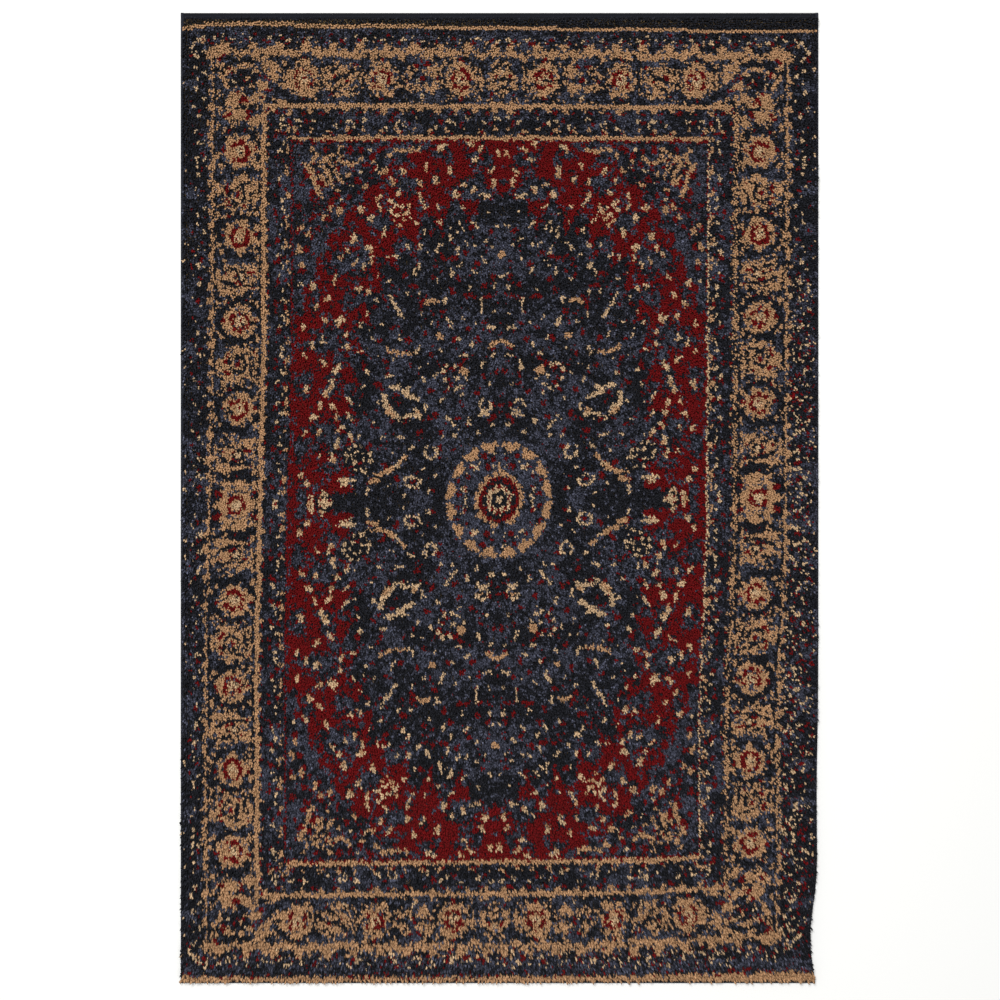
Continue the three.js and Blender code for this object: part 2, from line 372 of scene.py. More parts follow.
def pinwheel_filler(paper, y):
    """A tan palmette mass cut by dark slanting strokes round a small ring flower."""
    at = paper.at(BORDER_X + 2, y)
    at.dab(0, 0, 38, 31, TAN, rag=0.6)
    at.dab(-24, 20, 14, 10, TAN)
    at.dab(24, -20, 14, 10, TAN)
    at.stroke([(-26, -12), (-8, -15), (12, -12), (30, -2)], 6.5, NAVY)
    at.stroke([(6, 17), (20, 20)], 7, NAVY)
    at.stroke([(-34, 2), (-22, 4), (-18, -6)], 4.5, SLATE)
    at.stroke([(-20, -22), (-12, -30)], 5, NAVY)
    at.stroke([(30, 12), (33, 30)], 4.5, NAVY)
    at.stroke([(-12, 16), (-2, 12), (8, 2)], 4.5, NAVY, wear=0.2)
    at.ring(-4, 3, 9, 8, 3.4, NAVY, wear=0.35)
    at.dab(-4, 3, 5, 4.5, CREAM)
    at.stroke([(-26, 10), (-16, 12)], 5.5, CRIMSON)
    at.stroke([(-2, -8), (8, -6)], 5, CRIMSON)
    at.dots([(-29, -16), (24, 9), (5, 7)], 5.5, CRIMSON)
    at.dots([(30, -12), (12, 28), (-30, 26)], 5, SLATE)


def eye_filler(paper, y):
    """A tan mass round a dark curl with a red eye."""
    at = paper.at(BORDER_X + 2, y)
    at.dab(0, 0, 38, 32, TAN, rag=0.6)
    at.ring(2, -2, 15, 14, 6, NAVY, wear=0.2)
    at.dab(2, -2, 7, 7, SLATE, wear=0.3)
    at.dab(1, -1, 4, 6, CRIMSON)
    at.stroke([(20, 16), (24, 2)], 5, CRIMSON)
    at.stroke([(18, -20), (24, -12)], 5.5, CRIMSON)
    at.stroke([(-30, 4), (-22, -6), (-24, -22)], 5, NAVY)
    at.stroke([(-20, 20), (-6, 16)], 6, NAVY)
    at.stroke([(12, 24), (28, 26)], 5, SLATE)
    at.dab(12, 13, 7, 5, TAN)
    at.dots([(-30, -24), (33, -4), (30, -26)], 6, NAVY)
    at.dots([(-32, 20), (-12, -24)], 5, CRIMSON)


def end_rosette(paper, x):
    """A rosette of the end borders, with a dark bar on each side."""
    at = paper.at(x, BORDER_Y)
    for side in (-1, 1):
        at.dab(36 * side, 0, 6, 28, NAVY, rag=0.9, wear=0.1)
        at.dab(38 * side, 4, 3, 20, TAN, wear=0.4)
        at.dots([(36 * side, 8), (35 * side, -16)], 5.5, TAN)
    at.dab(0, 0, 30, 34, TAN, rag=0.5)
    at.dab(0, 38, 22, 4, NAVY, rag=0.9, wear=0.2)
    at.dab(0, -39, 24, 5, NAVY, rag=0.9, wear=0.1)
    at.ring(0, 0, 14, 17, 9, CRIMSON, wear=0.5)
    at.dots([(-13, 9), (12, -12), (11, 12)], 8, CRIMSON)
    at.dots([(-20, 24), (21, -22), (-23, -10)], 7, NAVY, rag=1.0)
    at.dab(0, 0, 8, 9, CREAM, wear=0.2)
    at.dots([(0, 36), (0, -36), (-2, 2)], 7, CRIMSON)
    at.dots([(17, 20), (-18, -18), (12, -26)], 5, SLATE)


def end_filler(paper, x, plain):
    """Four tan leaves round a dark middle, or a mass cut by dark slanting strokes."""
    at = paper.at(x, BORDER_Y)
    if plain:
        for side in (-1, 1):
            at.dab(17 * side, -14, 14, 11, TAN, turn=18 * side)
            at.dab(20 * side, 16, 11, 13, TAN, turn=-20 * side)
            at.dab(9 * side, 26, 5, 4, CRIMSON)
        at.dab(0, 2, 5, 6, CRIMSON)
        at.dots([(-6, 10), (8, -4), (0, -30)], 6, CREAM)
        at.dots([(-30, 0), (30, -2), (3, 36)], 5.5, CRIMSON)
        return
    at.dab(0, 0, 28, 30, TAN, rag=0.7, wear=0.12)
    at.stroke([(-18, 16), (-4, 4), (16, -2)], 6, NAVY)
    at.stroke([(-2, -12), (14, -20)], 6, NAVY)
    at.stroke([(6, 26), (20, 14)], 6, NAVY)
    at.stroke([(-24, -6), (-12, -20)], 5, SLATE)
    at.dots([(-10, -4), (14, 6), (-22, 26), (20, -28)], 6, CRIMSON)
    at.dots([(2, 14), (-16, -28)], 5, CREAM)


def paint_corner(paper):
    """The corner of the main border: an arched chamber, two large leaves and small flowers."""
    paper.dab(531, 828, 17, 14, TAN, turn=-30)
    paper.stroke([(523, 815), (514, 824)], 7, CRIMSON)
    paper.stroke([(498, 814), (455, 812)], 9, NAVY)
    paper.stroke([(510, 792), (492, 802), (470, 804), (450, 792)], 9, TAN)
    paper.dots([(507, 797), (448, 788), (504, 790)], 7, CRIMSON)
    paper.dab(478, 782, 22, 15, NAVY, rag=0.4)
    paper.dots([(471, 783), (493, 790)], 8, TAN)
    paper.dots([(477, 776), (484, 786), (466, 775)], 5, CRIMSON)
    paper.dots([(497, 775), (462, 792)], 6, CREAM)
    paper.stroke([(524, 788), (514, 780), (511, 766)], 8, TAN)
    paper.dab(433, 806, 17, 12, TAN, turn=25)
    paper.dab(422, 788, 10, 14, TAN, turn=-20)
    paper.dab(446, 770, 13, 8, TAN, turn=10)
    paper.stroke([(430, 780), (440, 784)], 5, CRIMSON)
    paper.stroke([(425, 762), (438, 761)], 5, CRIMSON)
    paper.dab(503, 735, 19, 12, TAN, turn=-55)
    paper.dab(488, 728, 20, 13, TAN, turn=25)
    paper.dab(497, 712, 22, 11, TAN, turn=12)
    paper.dab(469, 741, 13, 9, TAN, turn=-35)
    paper.dab(494, 751, 12, 8, TAN)
    paper.stroke([(482, 746), (474, 740)], 7, CRIMSON)
    paper.stroke([(516, 711), (506, 717)], 6, CRIMSON)
    paper.stroke([(470, 722), (472, 712)], 7, CRIMSON)
    paper.dots([(491, 756), (486, 739)], 6, CRIMSON)
    paper.dots([(486, 733), (493, 727), (478, 727)], 6, NAVY)
    paper.ring(447, 748, 7, 6, 5, TAN)
    paper.dots([(447, 748)], 3, CRIMSON)
    paper.dab(455, 706, 14, 10, TAN, turn=-25)
    paper.stroke([(446, 742), (441, 724)], 7, TAN)
    paper.stroke([(424, 746), (405, 738)], 8, TAN)


def paint_main_border(paper):
    """Rosettes and fillers in turn, from the middle of each side to the corner."""
    border = within(BORDER, paper.x, paper.y) & ~within(INNER_GUARD, paper.x, paper.y)
    paper.paint(border, NAVY)
    paper.mottle(border, SLATE, 0.55, 20)
    paper.mottle(border, TAN, 0.09, 12)
    for y in (90, 417):
        pinwheel_filler(paper, y)
    for y in (261, 573):
        eye_filler(paper, y)
    central_rosette(paper)
    for y in (178, 338, 494, 650):
        side_rosette(paper, y)
    for x, plain in ((0, False), (150, True), (296, False)):
        end_filler(paper, x, plain)
    for x in (77, 224, 367):
        end_rosette(paper, x)
    paint_corner(paper)
    paper.mottle(border & (paper.yarn == TAN), SLATE, 0.07, 9, 0.8)
    paper.mottle(border & (paper.yarn == TAN), NAVY, 0.05, 12, 0.8)
    paint_border_lines(paper)


def paint_inner_guard(paper):
    """Small broken flowers in one row, and tan clumps against the field's outline."""
    for y in uneven_steps(12, 690, 45, 9):
        shift = 4 * math.sin(y)
        paper.fleck(410 + shift, y, 3.2, 5.6, CREAM, turn=8 * shift, wear=0.1)
        paper.fleck(416 - shift, y - 9, 3.8, 4.6, CRIMSON)
        paper.fleck(406, y + 15, 2.6, 5.0, CREAM, turn=-9 * shift, wear=0.3)
        paper.fleck(419, y + 25, 3.4, 4.0, CRIMSON, wear=0.2)
        paper.fleck(396, y + 4 * shift, 3.6, 6.2, TAN, wear=0.2)
        paper.fleck(397, y + 24, 2.8, 4.0, TAN, wear=0.2)
        paper.fleck(402, y + 33, 3.2, 3.4, CRIMSON)
    for x in uneven_steps(12, 400, 47, 8):
        shift = 4 * math.sin(x)
        paper.fleck(x, 706 + shift, 5.6, 3.0, CREAM, turn=6 * shift, wear=0.1)
        paper.fleck(x + 13, 703 - shift, 4.4, 3.8, CRIMSON)
        paper.fleck(x + 23, 697 + shift, 2.8, 4.4, CREAM, turn=-9 * shift, wear=0.2)
        paper.fleck(x + 4, 689, 2.8, 4.4, TAN, wear=0.2)
        paper.fleck(x + 34, 686, 5.6, 3.4, TAN, turn=5 * shift, wear=0.2)
        paper.dab(x + 29, 682, 3.6, 3.0, CRIMSON, wear=0.2)


def paint_field_line(paper):
    """The line round the field: tan along the ends and red along the sides."""
    ragged = 3 * paper.edge_noise
    outline = within(LINE, paper.x, paper.y) & ~within(FIELD, paper.x, paper.y)
    paper.paint(outline, CRIMSON, wear=0.1)
    far = (paper.y + ragged > FIELD[1]) & (paper.y + ragged < LINE[1] + 1) & (paper.x < LINE[0])
    paper.paint(far, TAN)
    under = (paper.y + ragged > FIELD[1] - 5) & (paper.y + ragged < FIELD[1] - 1)
    paper.paint(under & (paper.x < FIELD[0]), CRIMSON, wear=0.35)


def paint_spandrel(paper):
    """A blossom of slanting tongues in the corner, and tan curls along the arch."""
    tongues = [
        [(261, 636), (276, 627), (296, 630)],
        [(300, 655), (312, 644), (322, 632)],
        [(326, 640), (338, 626)],
        [(362, 626), (352, 600), (340, 572)],
        [(352, 612), (344, 588), (334, 566)],
        [(330, 622), (320, 604), (316, 586)],
        [(308, 612), (298, 594)],
        [(346, 638), (356, 622)],
        [(336, 604), (326, 588)],
        [(298, 640), (308, 626)],
    ]
    for tongue in tongues:
        paper.stroke(tongue, 8, TAN, rag=1.2, wear=0.28)
    paper.dots([(343, 644), (332, 600), (316, 622), (352, 652), (286, 606), (306, 576)], 9, TAN)
    paper.dots([(334, 592), (359, 606), (284, 651), (353, 573), (316, 554), (350, 529)], 12, CRIMSON)
    paper.dots([(328, 652), (300, 618), (370, 590), (342, 612), (308, 570), (376, 548)], 9, CRIMSON)
    for x, y in [(318, 545), (301, 539), (372, 511), (359, 498), (330, 528), (376, 470), (368, 444)]:
        paper.dab(x, y, 4.5, 7, TAN, turn=25, rag=0.9)
    curls = [
        (156, 651), (170, 650), (184, 651), (198, 652), (211, 643), (219, 612), (240, 630), (253, 586),
    ]
    for x, y in curls:
        paper.dab(x, y, 7, 4.5, TAN, turn=-20, rag=0.9)
    paper.dots([(262, 612), (277, 588), (374, 405), (247, 652), (300, 560), (232, 618)], 7, CREAM)
    reds = [
        (222, 655), (266, 596), (362, 470), (286, 566), (240, 640), (262, 650), (372, 430), (322, 522),
    ]
    paper.dots(reds, 11, CRIMSON)
    paper.dots([(350, 490), (340, 508), (296, 550), (376, 500), (230, 652), (252, 624)], 9, CRIMSON)


def paint_arcade(paper):
    """The red arcade: dark windows in its red, and broken cream flowers along it."""
    windows = [
        (172, 585, 24, 17), (56, 578, 34, 20), (280, 440, 40, 30), (318, 301, 42, 27),
        (308, 222, 14, 30), (364, 220, 13, 26), (318, 122, 30, 34), (366, 100, 13, 34),
        (112, 644, 20, 13), (39, 632, 24, 16), (272, 378, 20, 18), (228, 520, 22, 16),
        (346, 382, 12, 16), (311, 66, 19, 14), (366, 20, 10, 16), (300, 262, 16, 12), (190, 632, 14, 8),
    ]
    for x, y, half_width, half_length in windows:
        paper.dab(x, y, half_width, half_length, NAVY, rag=1.1, wear=0.22)
        paper.dab(x, y, half_width * 0.9, half_length * 0.9, SLATE, rag=1.2, wear=0.52)
    paper.dab(322, 0, 19, 20, NAVY, rag=0.4)
    paper.dab(300, 0, 14, 16, NAVY, rag=0.5)
    paper.dab(292, 28, 24, 9, CRIMSON, turn=10, rag=0.5)
    clumps = [
        (96, 612), (49, 633), (38, 654), (59, 664), (114, 656), (140, 622), (185, 614), (153, 593),
        (122, 597), (203, 596), (193, 573), (227, 567), (228, 549), (153, 570), (85, 567), (72, 586),
        (52, 578), (34, 566), (20, 612), (275, 491), (243, 525), (219, 495), (243, 470), (240, 450),
        (296, 457), (271, 447), (256, 439), (309, 415), (266, 397), (245, 392), (321, 381), (351, 405),
        (330, 342), (295, 342), (366, 327), (300, 335), (287, 312), (285, 290), (350, 293), (330, 303),
        (367, 276), (330, 261), (313, 219), (359, 214), (334, 183), (311, 180), (280, 162), (303, 162),
        (295, 138), (279, 125), (358, 133), (334, 136), (304, 110), (332, 91), (311, 86), (366, 55),
        (355, 39), (8, 648), (14, 590), (262, 545), (284, 470), (340, 366), (346, 160), (322, 205),
        (345, 8), (326, 20),
    ]
    for x, y in clumps:
        turn = 90 * math.sin(x + y)
        long = 6.5 + 2.5 * math.sin(x - 2 * y)
        paper.fleck(x, y, long, 3.9, CREAM, turn=turn)
        paper.fleck(x + 5 * math.cos(x), y - 5, 4.5, 2.8, TAN, turn=-turn)
    paper.fleck(322, 0, 11, 7, CREAM)
    paper.dots([(314, 4), (330, 6)], 5, CRIMSON)
    paper.dab(305, 247, 5, 11, CREAM, turn=35)
    paper.dab(282, 40, 15, 5, CREAM, rag=0.9)
    paper.dab(282, 31, 13, 3, CREAM, rag=0.9, wear=0.3)
    fan = [(206, 557), (197, 549), (186, 545), (176, 537), (168, 527), (160, 517), (206, 538), (194, 530)]
    paper.dots(fan, 9, CREAM)
    paper.dots([(182, 522), (200, 520), (172, 548), (190, 512), (180, 533)], 8, TAN)
    paper.dots([(186, 555), (203, 528), (164, 540), (184, 514)], 6, CRIMSON)


def paint_ground_flowers(paper):
    """Broken flowers, leaves and stems over the dark ground."""
    clumps = [
        (173, 473), (151, 472), (195, 455), (211, 450), (135, 457), (96, 531), (49, 512), (114, 518),
        (64, 478), (49, 476), (30, 484), (18, 473), (2, 457), (33, 450), (153, 436), (163, 426),
        (49, 426), (6, 418), (174, 388), (152, 389), (104, 372), (59, 395), (248, 350), (232, 374),
        (240, 306), (243, 319), (135, 254), (153, 248), (233, 269), (109, 281), (83, 302), (13, 269),
        (248, 240), (206, 235), (143, 225), (119, 235), (256, 214), (109, 188), (56, 147), (104, 120),
        (219, 121), (182, 120), (164, 99), (235, 149), (140, 60), (138, 172), (227, 185), (165, 150),
        (203, 165), (98, 151), (84, 500), (205, 410), (118, 412), (222, 330), (70, 340), (128, 330),
        (200, 262), (60, 226), (262, 180), (252, 92), (250, 60), (204, 30), (176, 12), (150, 25),
        (128, 20), (118, 48), (200, 90), (26, 535), (8, 510), (70, 545), (118, 545), (142, 500),
        (228, 420), (260, 330), (262, 280), (10, 350), (16, 320), (46, 330), (12, 395), (90, 425),
        (75, 440), (186, 345), (150, 345), (52, 290), (66, 270), (170, 210), (20, 215), (12, 140),
        (40, 128), (244, 20), (262, 125), (84, 120),
    ]
    for x, y in clumps:
        turn = 60 * math.sin(2 * x + y)
        long = 5.6 + 2.6 * math.sin(x + 3 * y)
        paper.fleck(x, y, long, 2.6 + 0.7 * math.sin(y), CREAM, turn=1.5 * turn)
    stems = [
        [(208, 384), (196, 362), (180, 340)], [(190, 311), (185, 298)], [(35, 375), (35, 350)],
        [(30, 258), (35, 246)], [(151, 284), (156, 274)], [(83, 470), (79, 460)], [(94, 508), (94, 487)],
        [(80, 516), (72, 504)], [(98, 158), (90, 148), (78, 132)], [(284, 196), (272, 180)],
        [(140, 545), (150, 560)], [(112, 478), (120, 466)], [(100, 340), (92, 322)],
    ]
    for stem in stems:
        paper.stroke(stem, 5.0, CREAM, rag=0.9)
    paper.stroke([(216, 288), (200, 278), (182, 274), (161, 272)], 8, TAN, rag=1.0, wear=0.4)
    paper.stroke([(140, 366), (127, 374), (116, 366)], 7, TAN, rag=1.0, wear=0.2)
    paper.stroke([(0, 296), (10, 292), (17, 286)], 8, TAN)
    paper.dab(113, 306, 8, 6, TAN, turn=30)
    paper.dab(0, 457, 7, 6, TAN)
    reds = [
        (165, 459), (182, 466), (56, 506), (114, 526), (14, 414), (148, 370), (148, 360), (125, 418),
        (64, 457), (51, 379), (122, 448), (108, 452), (94, 450), (82, 452), (174, 150), (104, 240),
        (96, 228), (88, 246), (74, 252), (66, 262), (92, 216), (100, 206), (216, 262), (210, 250),
        (226, 300), (200, 322), (236, 362), (30, 400), (78, 412), (44, 440), (20, 500), (130, 500),
        (100, 560), (160, 400), (180, 420), (228, 440), (250, 400), (64, 380), (110, 350), (86, 300),
        (40, 300), (30, 330), (130, 270), (44, 200), (70, 180), (120, 160), (150, 128), (238, 108),
        (214, 70), (242, 36), (190, 44), (110, 100), (108, 130), (122, 20), (30, 230), (8, 240),
        (200, 150), (60, 320), (90, 390), (140, 310), (172, 300), (256, 250), (14, 180), (130, 206),
        (266, 150), (230, 220),
    ]
    for x, y in reds:
        paper.fleck(x, y, 6.0, 3.9, CRIMSON, turn=80 * math.sin(x))


def paint_ground_motifs(paper):
    """The larger motifs of the ground: a horseshoe garland, ring flowers and a fan palmette."""
    flower = [
        (106, 244), (98, 252), (84, 250), (104, 226), (96, 212), (82, 208), (72, 214), (80, 228),
        (70, 199),
    ]
    paper.dots(flower, 8, CREAM)
    paper.dab(66, 240, 8, 9, TAN)
    garland = [
        [(182, 204), (172, 198), (162, 196), (152, 189)],
        [(202, 214), (192, 213), (184, 208)],
        [(214, 197), (216, 188), (213, 178)],
        [(185, 151), (172, 158), (160, 160), (147, 158)],
        [(206, 176), (199, 166), (192, 158)],
        [(158, 170), (150, 160)],
    ]
    for chain in garland:
        paper.stroke(chain, 8, CREAM, rag=1.0, wear=0.12)
    paper.dots([(207, 168), (198, 160), (152, 166)], 10, TAN)
    paper.ring(28, 175, 10, 10, 4.5, CREAM, wear=0.2)
    paper.dots([(28, 175)], 6, TAN)
    paper.stroke([(18, 160), (36, 158)], 6, CREAM)
    paper.ring(127, 91, 12, 12, 5, CREAM, wear=0.3)
    paper.dots([(127, 103), (127, 91)], 7, SLATE)
    paper.ring(161, 36, 14, 9, 5, CREAM, wear=0.2)
    paper.dab(161, 36, 6, 4, CRIMSON)
    paper.stroke([(180, 81), (188, 68), (198, 62), (206, 55)], 6, CREAM, rag=0.9, wear=0.1)
    fan = (262, 83)
    paper.dab(*fan, 27, 27, NAVY, rag=0.5)
    for ray, (half_width, half_length) in enumerate(((11, 11), (22, 23))):
        for step in range(6 + 6 * ray):
            angle = math.radians(step * 360 / (6 + 6 * ray) + 12)
            place = (fan[0] + half_width * math.cos(angle), fan[1] + half_length * math.sin(angle))
            paper.dots([place], 7.5, CRIMSON if step % 6 == 4 else CREAM)
    paper.stroke([(240, 50), (214, 53), (194, 64), (174, 83)], 7, TAN, rag=1.0, wear=0.3)
    paper.stroke([(226, 42), (240, 36)], 8, TAN, rag=0.9)


def paint_medallion(paper):
    """Sixteen petals round a dark ring, a tan scalloped ring and a red one."""
    x, y = paper.x, paper.y
    ragged = 1 + 0.08 * paper.edge_noise
    disc = medallion_ring(RINGS[0], x, y)
    paper.paint(disc, NAVY)
    paper.mottle(disc, SLATE, 0.78, 14)
    outward = (np.hypot(x / 97, y / 108) - 0.83 - 0.03 * paper.edge_noise) / 0.17
    angle = np.arctan2(y / 108, x / 97)
    past_neck = np.abs((8 * angle / math.pi + 0.5) % 1 - 0.5) * math.pi / 8 * np.hypot(x, y)
    petals = (outward < 1) & (outward > 0.3 * (np.cos(16 * angle) + 1))
    paper.paint(petals & (past_neck > 2.6 + 3 * (1 - outward) ** 2), TAN)
    paper.dots([(22, 62), (29, 82), (62, 20), (76, 36)], 9, CRIMSON)
    paper.dots([(60, 42), (52, 62), (74, 12), (12, 76)], 7, CRIMSON)
    paper.dots([(50, 66), (40, 60), (60, 50), (8, 85), (10, 62)], 5.5, CREAM)
    paper.stroke([(34, 72), (42, 66), (46, 56)], 3.5, CREAM, rag=1.0, wear=0.25)
    paper.stroke([(62, 0), (60, 10), (66, 22)], 4.5, CREAM, rag=1.0, wear=0.3)
    ring = medallion_ring((47, 53), x * ragged, y * ragged, 0.14)
    ring &= ~medallion_ring((37, 42), x, y)
    paper.paint(ring, TAN, wear=0.07)
    paper.paint(medallion_ring((37, 42), x, y), NAVY)
    paper.ring(0, 0, 33, 38, 7, CRIMSON, wear=0.2)
    paper.ring(0, 2, 18, 20, 9, CREAM, wear=0.35)
    paper.dots([(18, 5), (12, 18), (2, 24), (24, 12)], 7, CRIMSON)
    paper.dots([(18, 19), (26, 6)], 4.5, CREAM)
    paper.dab(0, 2, 9, 9, NAVY)
    paper.dots([(2, 4)], 5, CREAM)


def draw_quarter():
    """The far right quarter's yarns, drawn from the ground up."""
    paper = PointPaper()
    paint_grounds(paper)
    paint_arcade(paper)
    paint_spandrel(paper)
    paint_ground_flowers(paper)
    paint_ground_motifs(paper)
    paint_medallion(paper)
    paint_inner_guard(paper)
    paint_field_line(paper)
    paint_outer_guard(paper)
    paint_main_border(paper)
    paint_end_line(paper)
    return paper.yarn


def whole_design():
    """The quarter mirrored into all four, as rows from the near end and columns from the left."""
    quarter = draw_quarter()
    right = np.vstack([quarter[::-1], quarter])
    return np.hstack([right[:, ::-1], right])


# ---------------------------------------------------------------- tufts

def settle(x, y, z):
    """Where a place on the rug comes to lie. Its right edge waves in a little near the end."""
    near_edge = ((x - 480) / 115).clip(0, 1) ** 2
    wave = 15 * np.exp(-(((y + 820) / 85) ** 2)) + 3 * np.exp(-(((y + 560) / 150) ** 2))
    return x - near_edge * wave, y, z


def design_place(x, y):
    """The place in the design that a tuft takes its yarn from. Warp and weft run a little askew."""
    # How far the drawing is shifted to the right: in the middle, at the right side and at the left
    right = (x / 400).clip(0, 1) ** 1.5
    left = (-x / 400).clip(0, 1) ** 1.5
    up = y / HALF_LENGTH
    slip = ((400 - y) / 750).clip(0, 1)
    near_slip = (-2 * up).clip(0, 1)
    middle_shift = -3 + 8 * up
    right_shift = -6 + 3.5 * up.clip(0, 1) - 16 * near_slip * near_slip * (3 - 2 * near_slip)
    left_shift = 1 - 13 * slip * slip * (3 - 2 * slip) + 6 * (-up).clip(0, 1) ** 4
    shift = middle_shift + right * (right_shift - middle_shift) + left * (left_shift - middle_shift)
    # Between those the field bulges, to the right at the far right and to the left at the near left
    field_part = (np.abs(x) / 380).clip(0, 1)
    far_right = (x > 0) * ((y - 30) / 100).clip(0, 1) * ((690 - y) / 90).clip(0, 1)
    near_left = (x < 0) * ((-y - 100) / 450).clip(0, 1) * ((700 + y) / 60).clip(0, 1)
    shift += 13 * np.sin(math.pi * field_part**0.8) * (far_right - near_left)
    # How far the picks droop towards the near end, and the near right corner is drawn in
    tilt = x / 500
    droop = (1 - up * up) * (3.5 * np.abs(tilt) - 6.5 * tilt - 1.9)
    droop -= (1.9 - 6.5 * tilt) * up.clip(0, 1) ** 2 + (3 + 6 * right) * (-up).clip(0, 1) ** 2
    corner = ((x / HALF_WIDTH - 0.35) / 0.65).clip(0, 1) ** 1.5 * (-up).clip(0, 1) ** 2
    # Nothing moves across the edges of the pile
    held_x = ((PILE_X - np.abs(x)) / 45).clip(0, 1)
    held_y = ((PILE_Y - np.abs(y)) / 50).clip(0, 1)
    return x - held_x * shift, y + held_y * (droop - 26 * corner)


def side_wear(yarn, x, y, rug_x, rug_y, clumps, chance):
    """What doesn't mirror. x and y are places in the design, and rug_x and rug_y on the rug."""
    # The right border's inner outline is worn in places, and a cream thread runs beside the field
    outline = (np.abs(x - 443) < 9) & (np.abs(y) < 735)
    gone = chance.random(x.shape) + 0.25 * np.sin(y / 19) > 0.55
    yarn[outline & gone & (yarn == TAN)] = NAVY
    thread = (x > LINE[0] - 3) & (x < LINE[0] + 0.5) & (np.abs(y) < FIELD[1])
    yarn[thread & (chance.random(x.shape) < 0.8)] = CREAM
    # Stray flecks in the right guard and the near one
    right_guard = (x > 543) & (rug_x < 582) & (rug_y < 420) & (rug_y > -868)
    yarn[right_guard & (clumps > 1.45)] = CREAM
    yarn[right_guard & (clumps < -1.65)] = CRIMSON
    near_guard = (rug_y < -832) & (rug_y > -868) & (yarn < CRIMSON)
    yarn[near_guard & (clumps > 1.6)] = CREAM
    yarn[near_guard & (clumps < -1.9)] = CRIMSON
    # The tan line at the near end is ragged and widens to the right, with slate and red flecks
    to_right = ((rug_x + 150) / 600).clip(0, 1)
    near_line = -883 + 8 * to_right + 2.5 * clumps
    yarn[(rug_y < 0) & (y < -876) & (rug_y > near_line)] = NAVY
    above_line = (rug_y < -850) & (rug_y > near_line) & (yarn == NAVY)
    yarn[above_line & (chance.random(x.shape) < 0.2 + 0.5 * to_right)] = SLATE
    yarn[(rug_y < near_line + 11) & (rug_y > near_line) & (clumps < -1.1)] = CRIMSON
    # At the far end it is one thin line, with a band of navy behind it
    far_line = 876 - 0.0115 * rug_x - 8 * ((-rug_x - 540) / 50).clip(0, 1)
    yarn[(rug_y > far_line) & (rug_y < far_line + 5.6)] = TAN
    yarn[rug_y > far_line + 5.6] = NAVY
    # A tan point over the medallion's heart, and a row of dark beads under it
    yarn[(np.abs(x) < 4 - (y - 50) / 7) & (y > 50) & (y < 68)] = TAN
    beads = (np.abs(x) < 36) & (y < -38) & (y > -58) & (np.sin(x / 4.5) > 0.35)
    yarn[beads & (yarn == TAN)] = NAVY
    return yarn


def break_up(x, y, chance, rows, columns):
    """Unevenness in the drawing that doesn't mirror: each few tufts take a neighbour's yarn."""
    shift = [0.9 * clump_noise(chance, rows, columns).clip(-2, 2) for _ in range(2)]
    return x + shift[0], y + shift[1]


def clump_noise(chance, rows, columns):
    """Unevenness shared by each few neighbouring tufts."""
    noise = chance.standard_normal((rows, columns))
    noise = noise + np.roll(noise, 1, axis=0)
    noise = noise + np.roll(noise, 1, axis=1)
    return noise.ravel() / 2


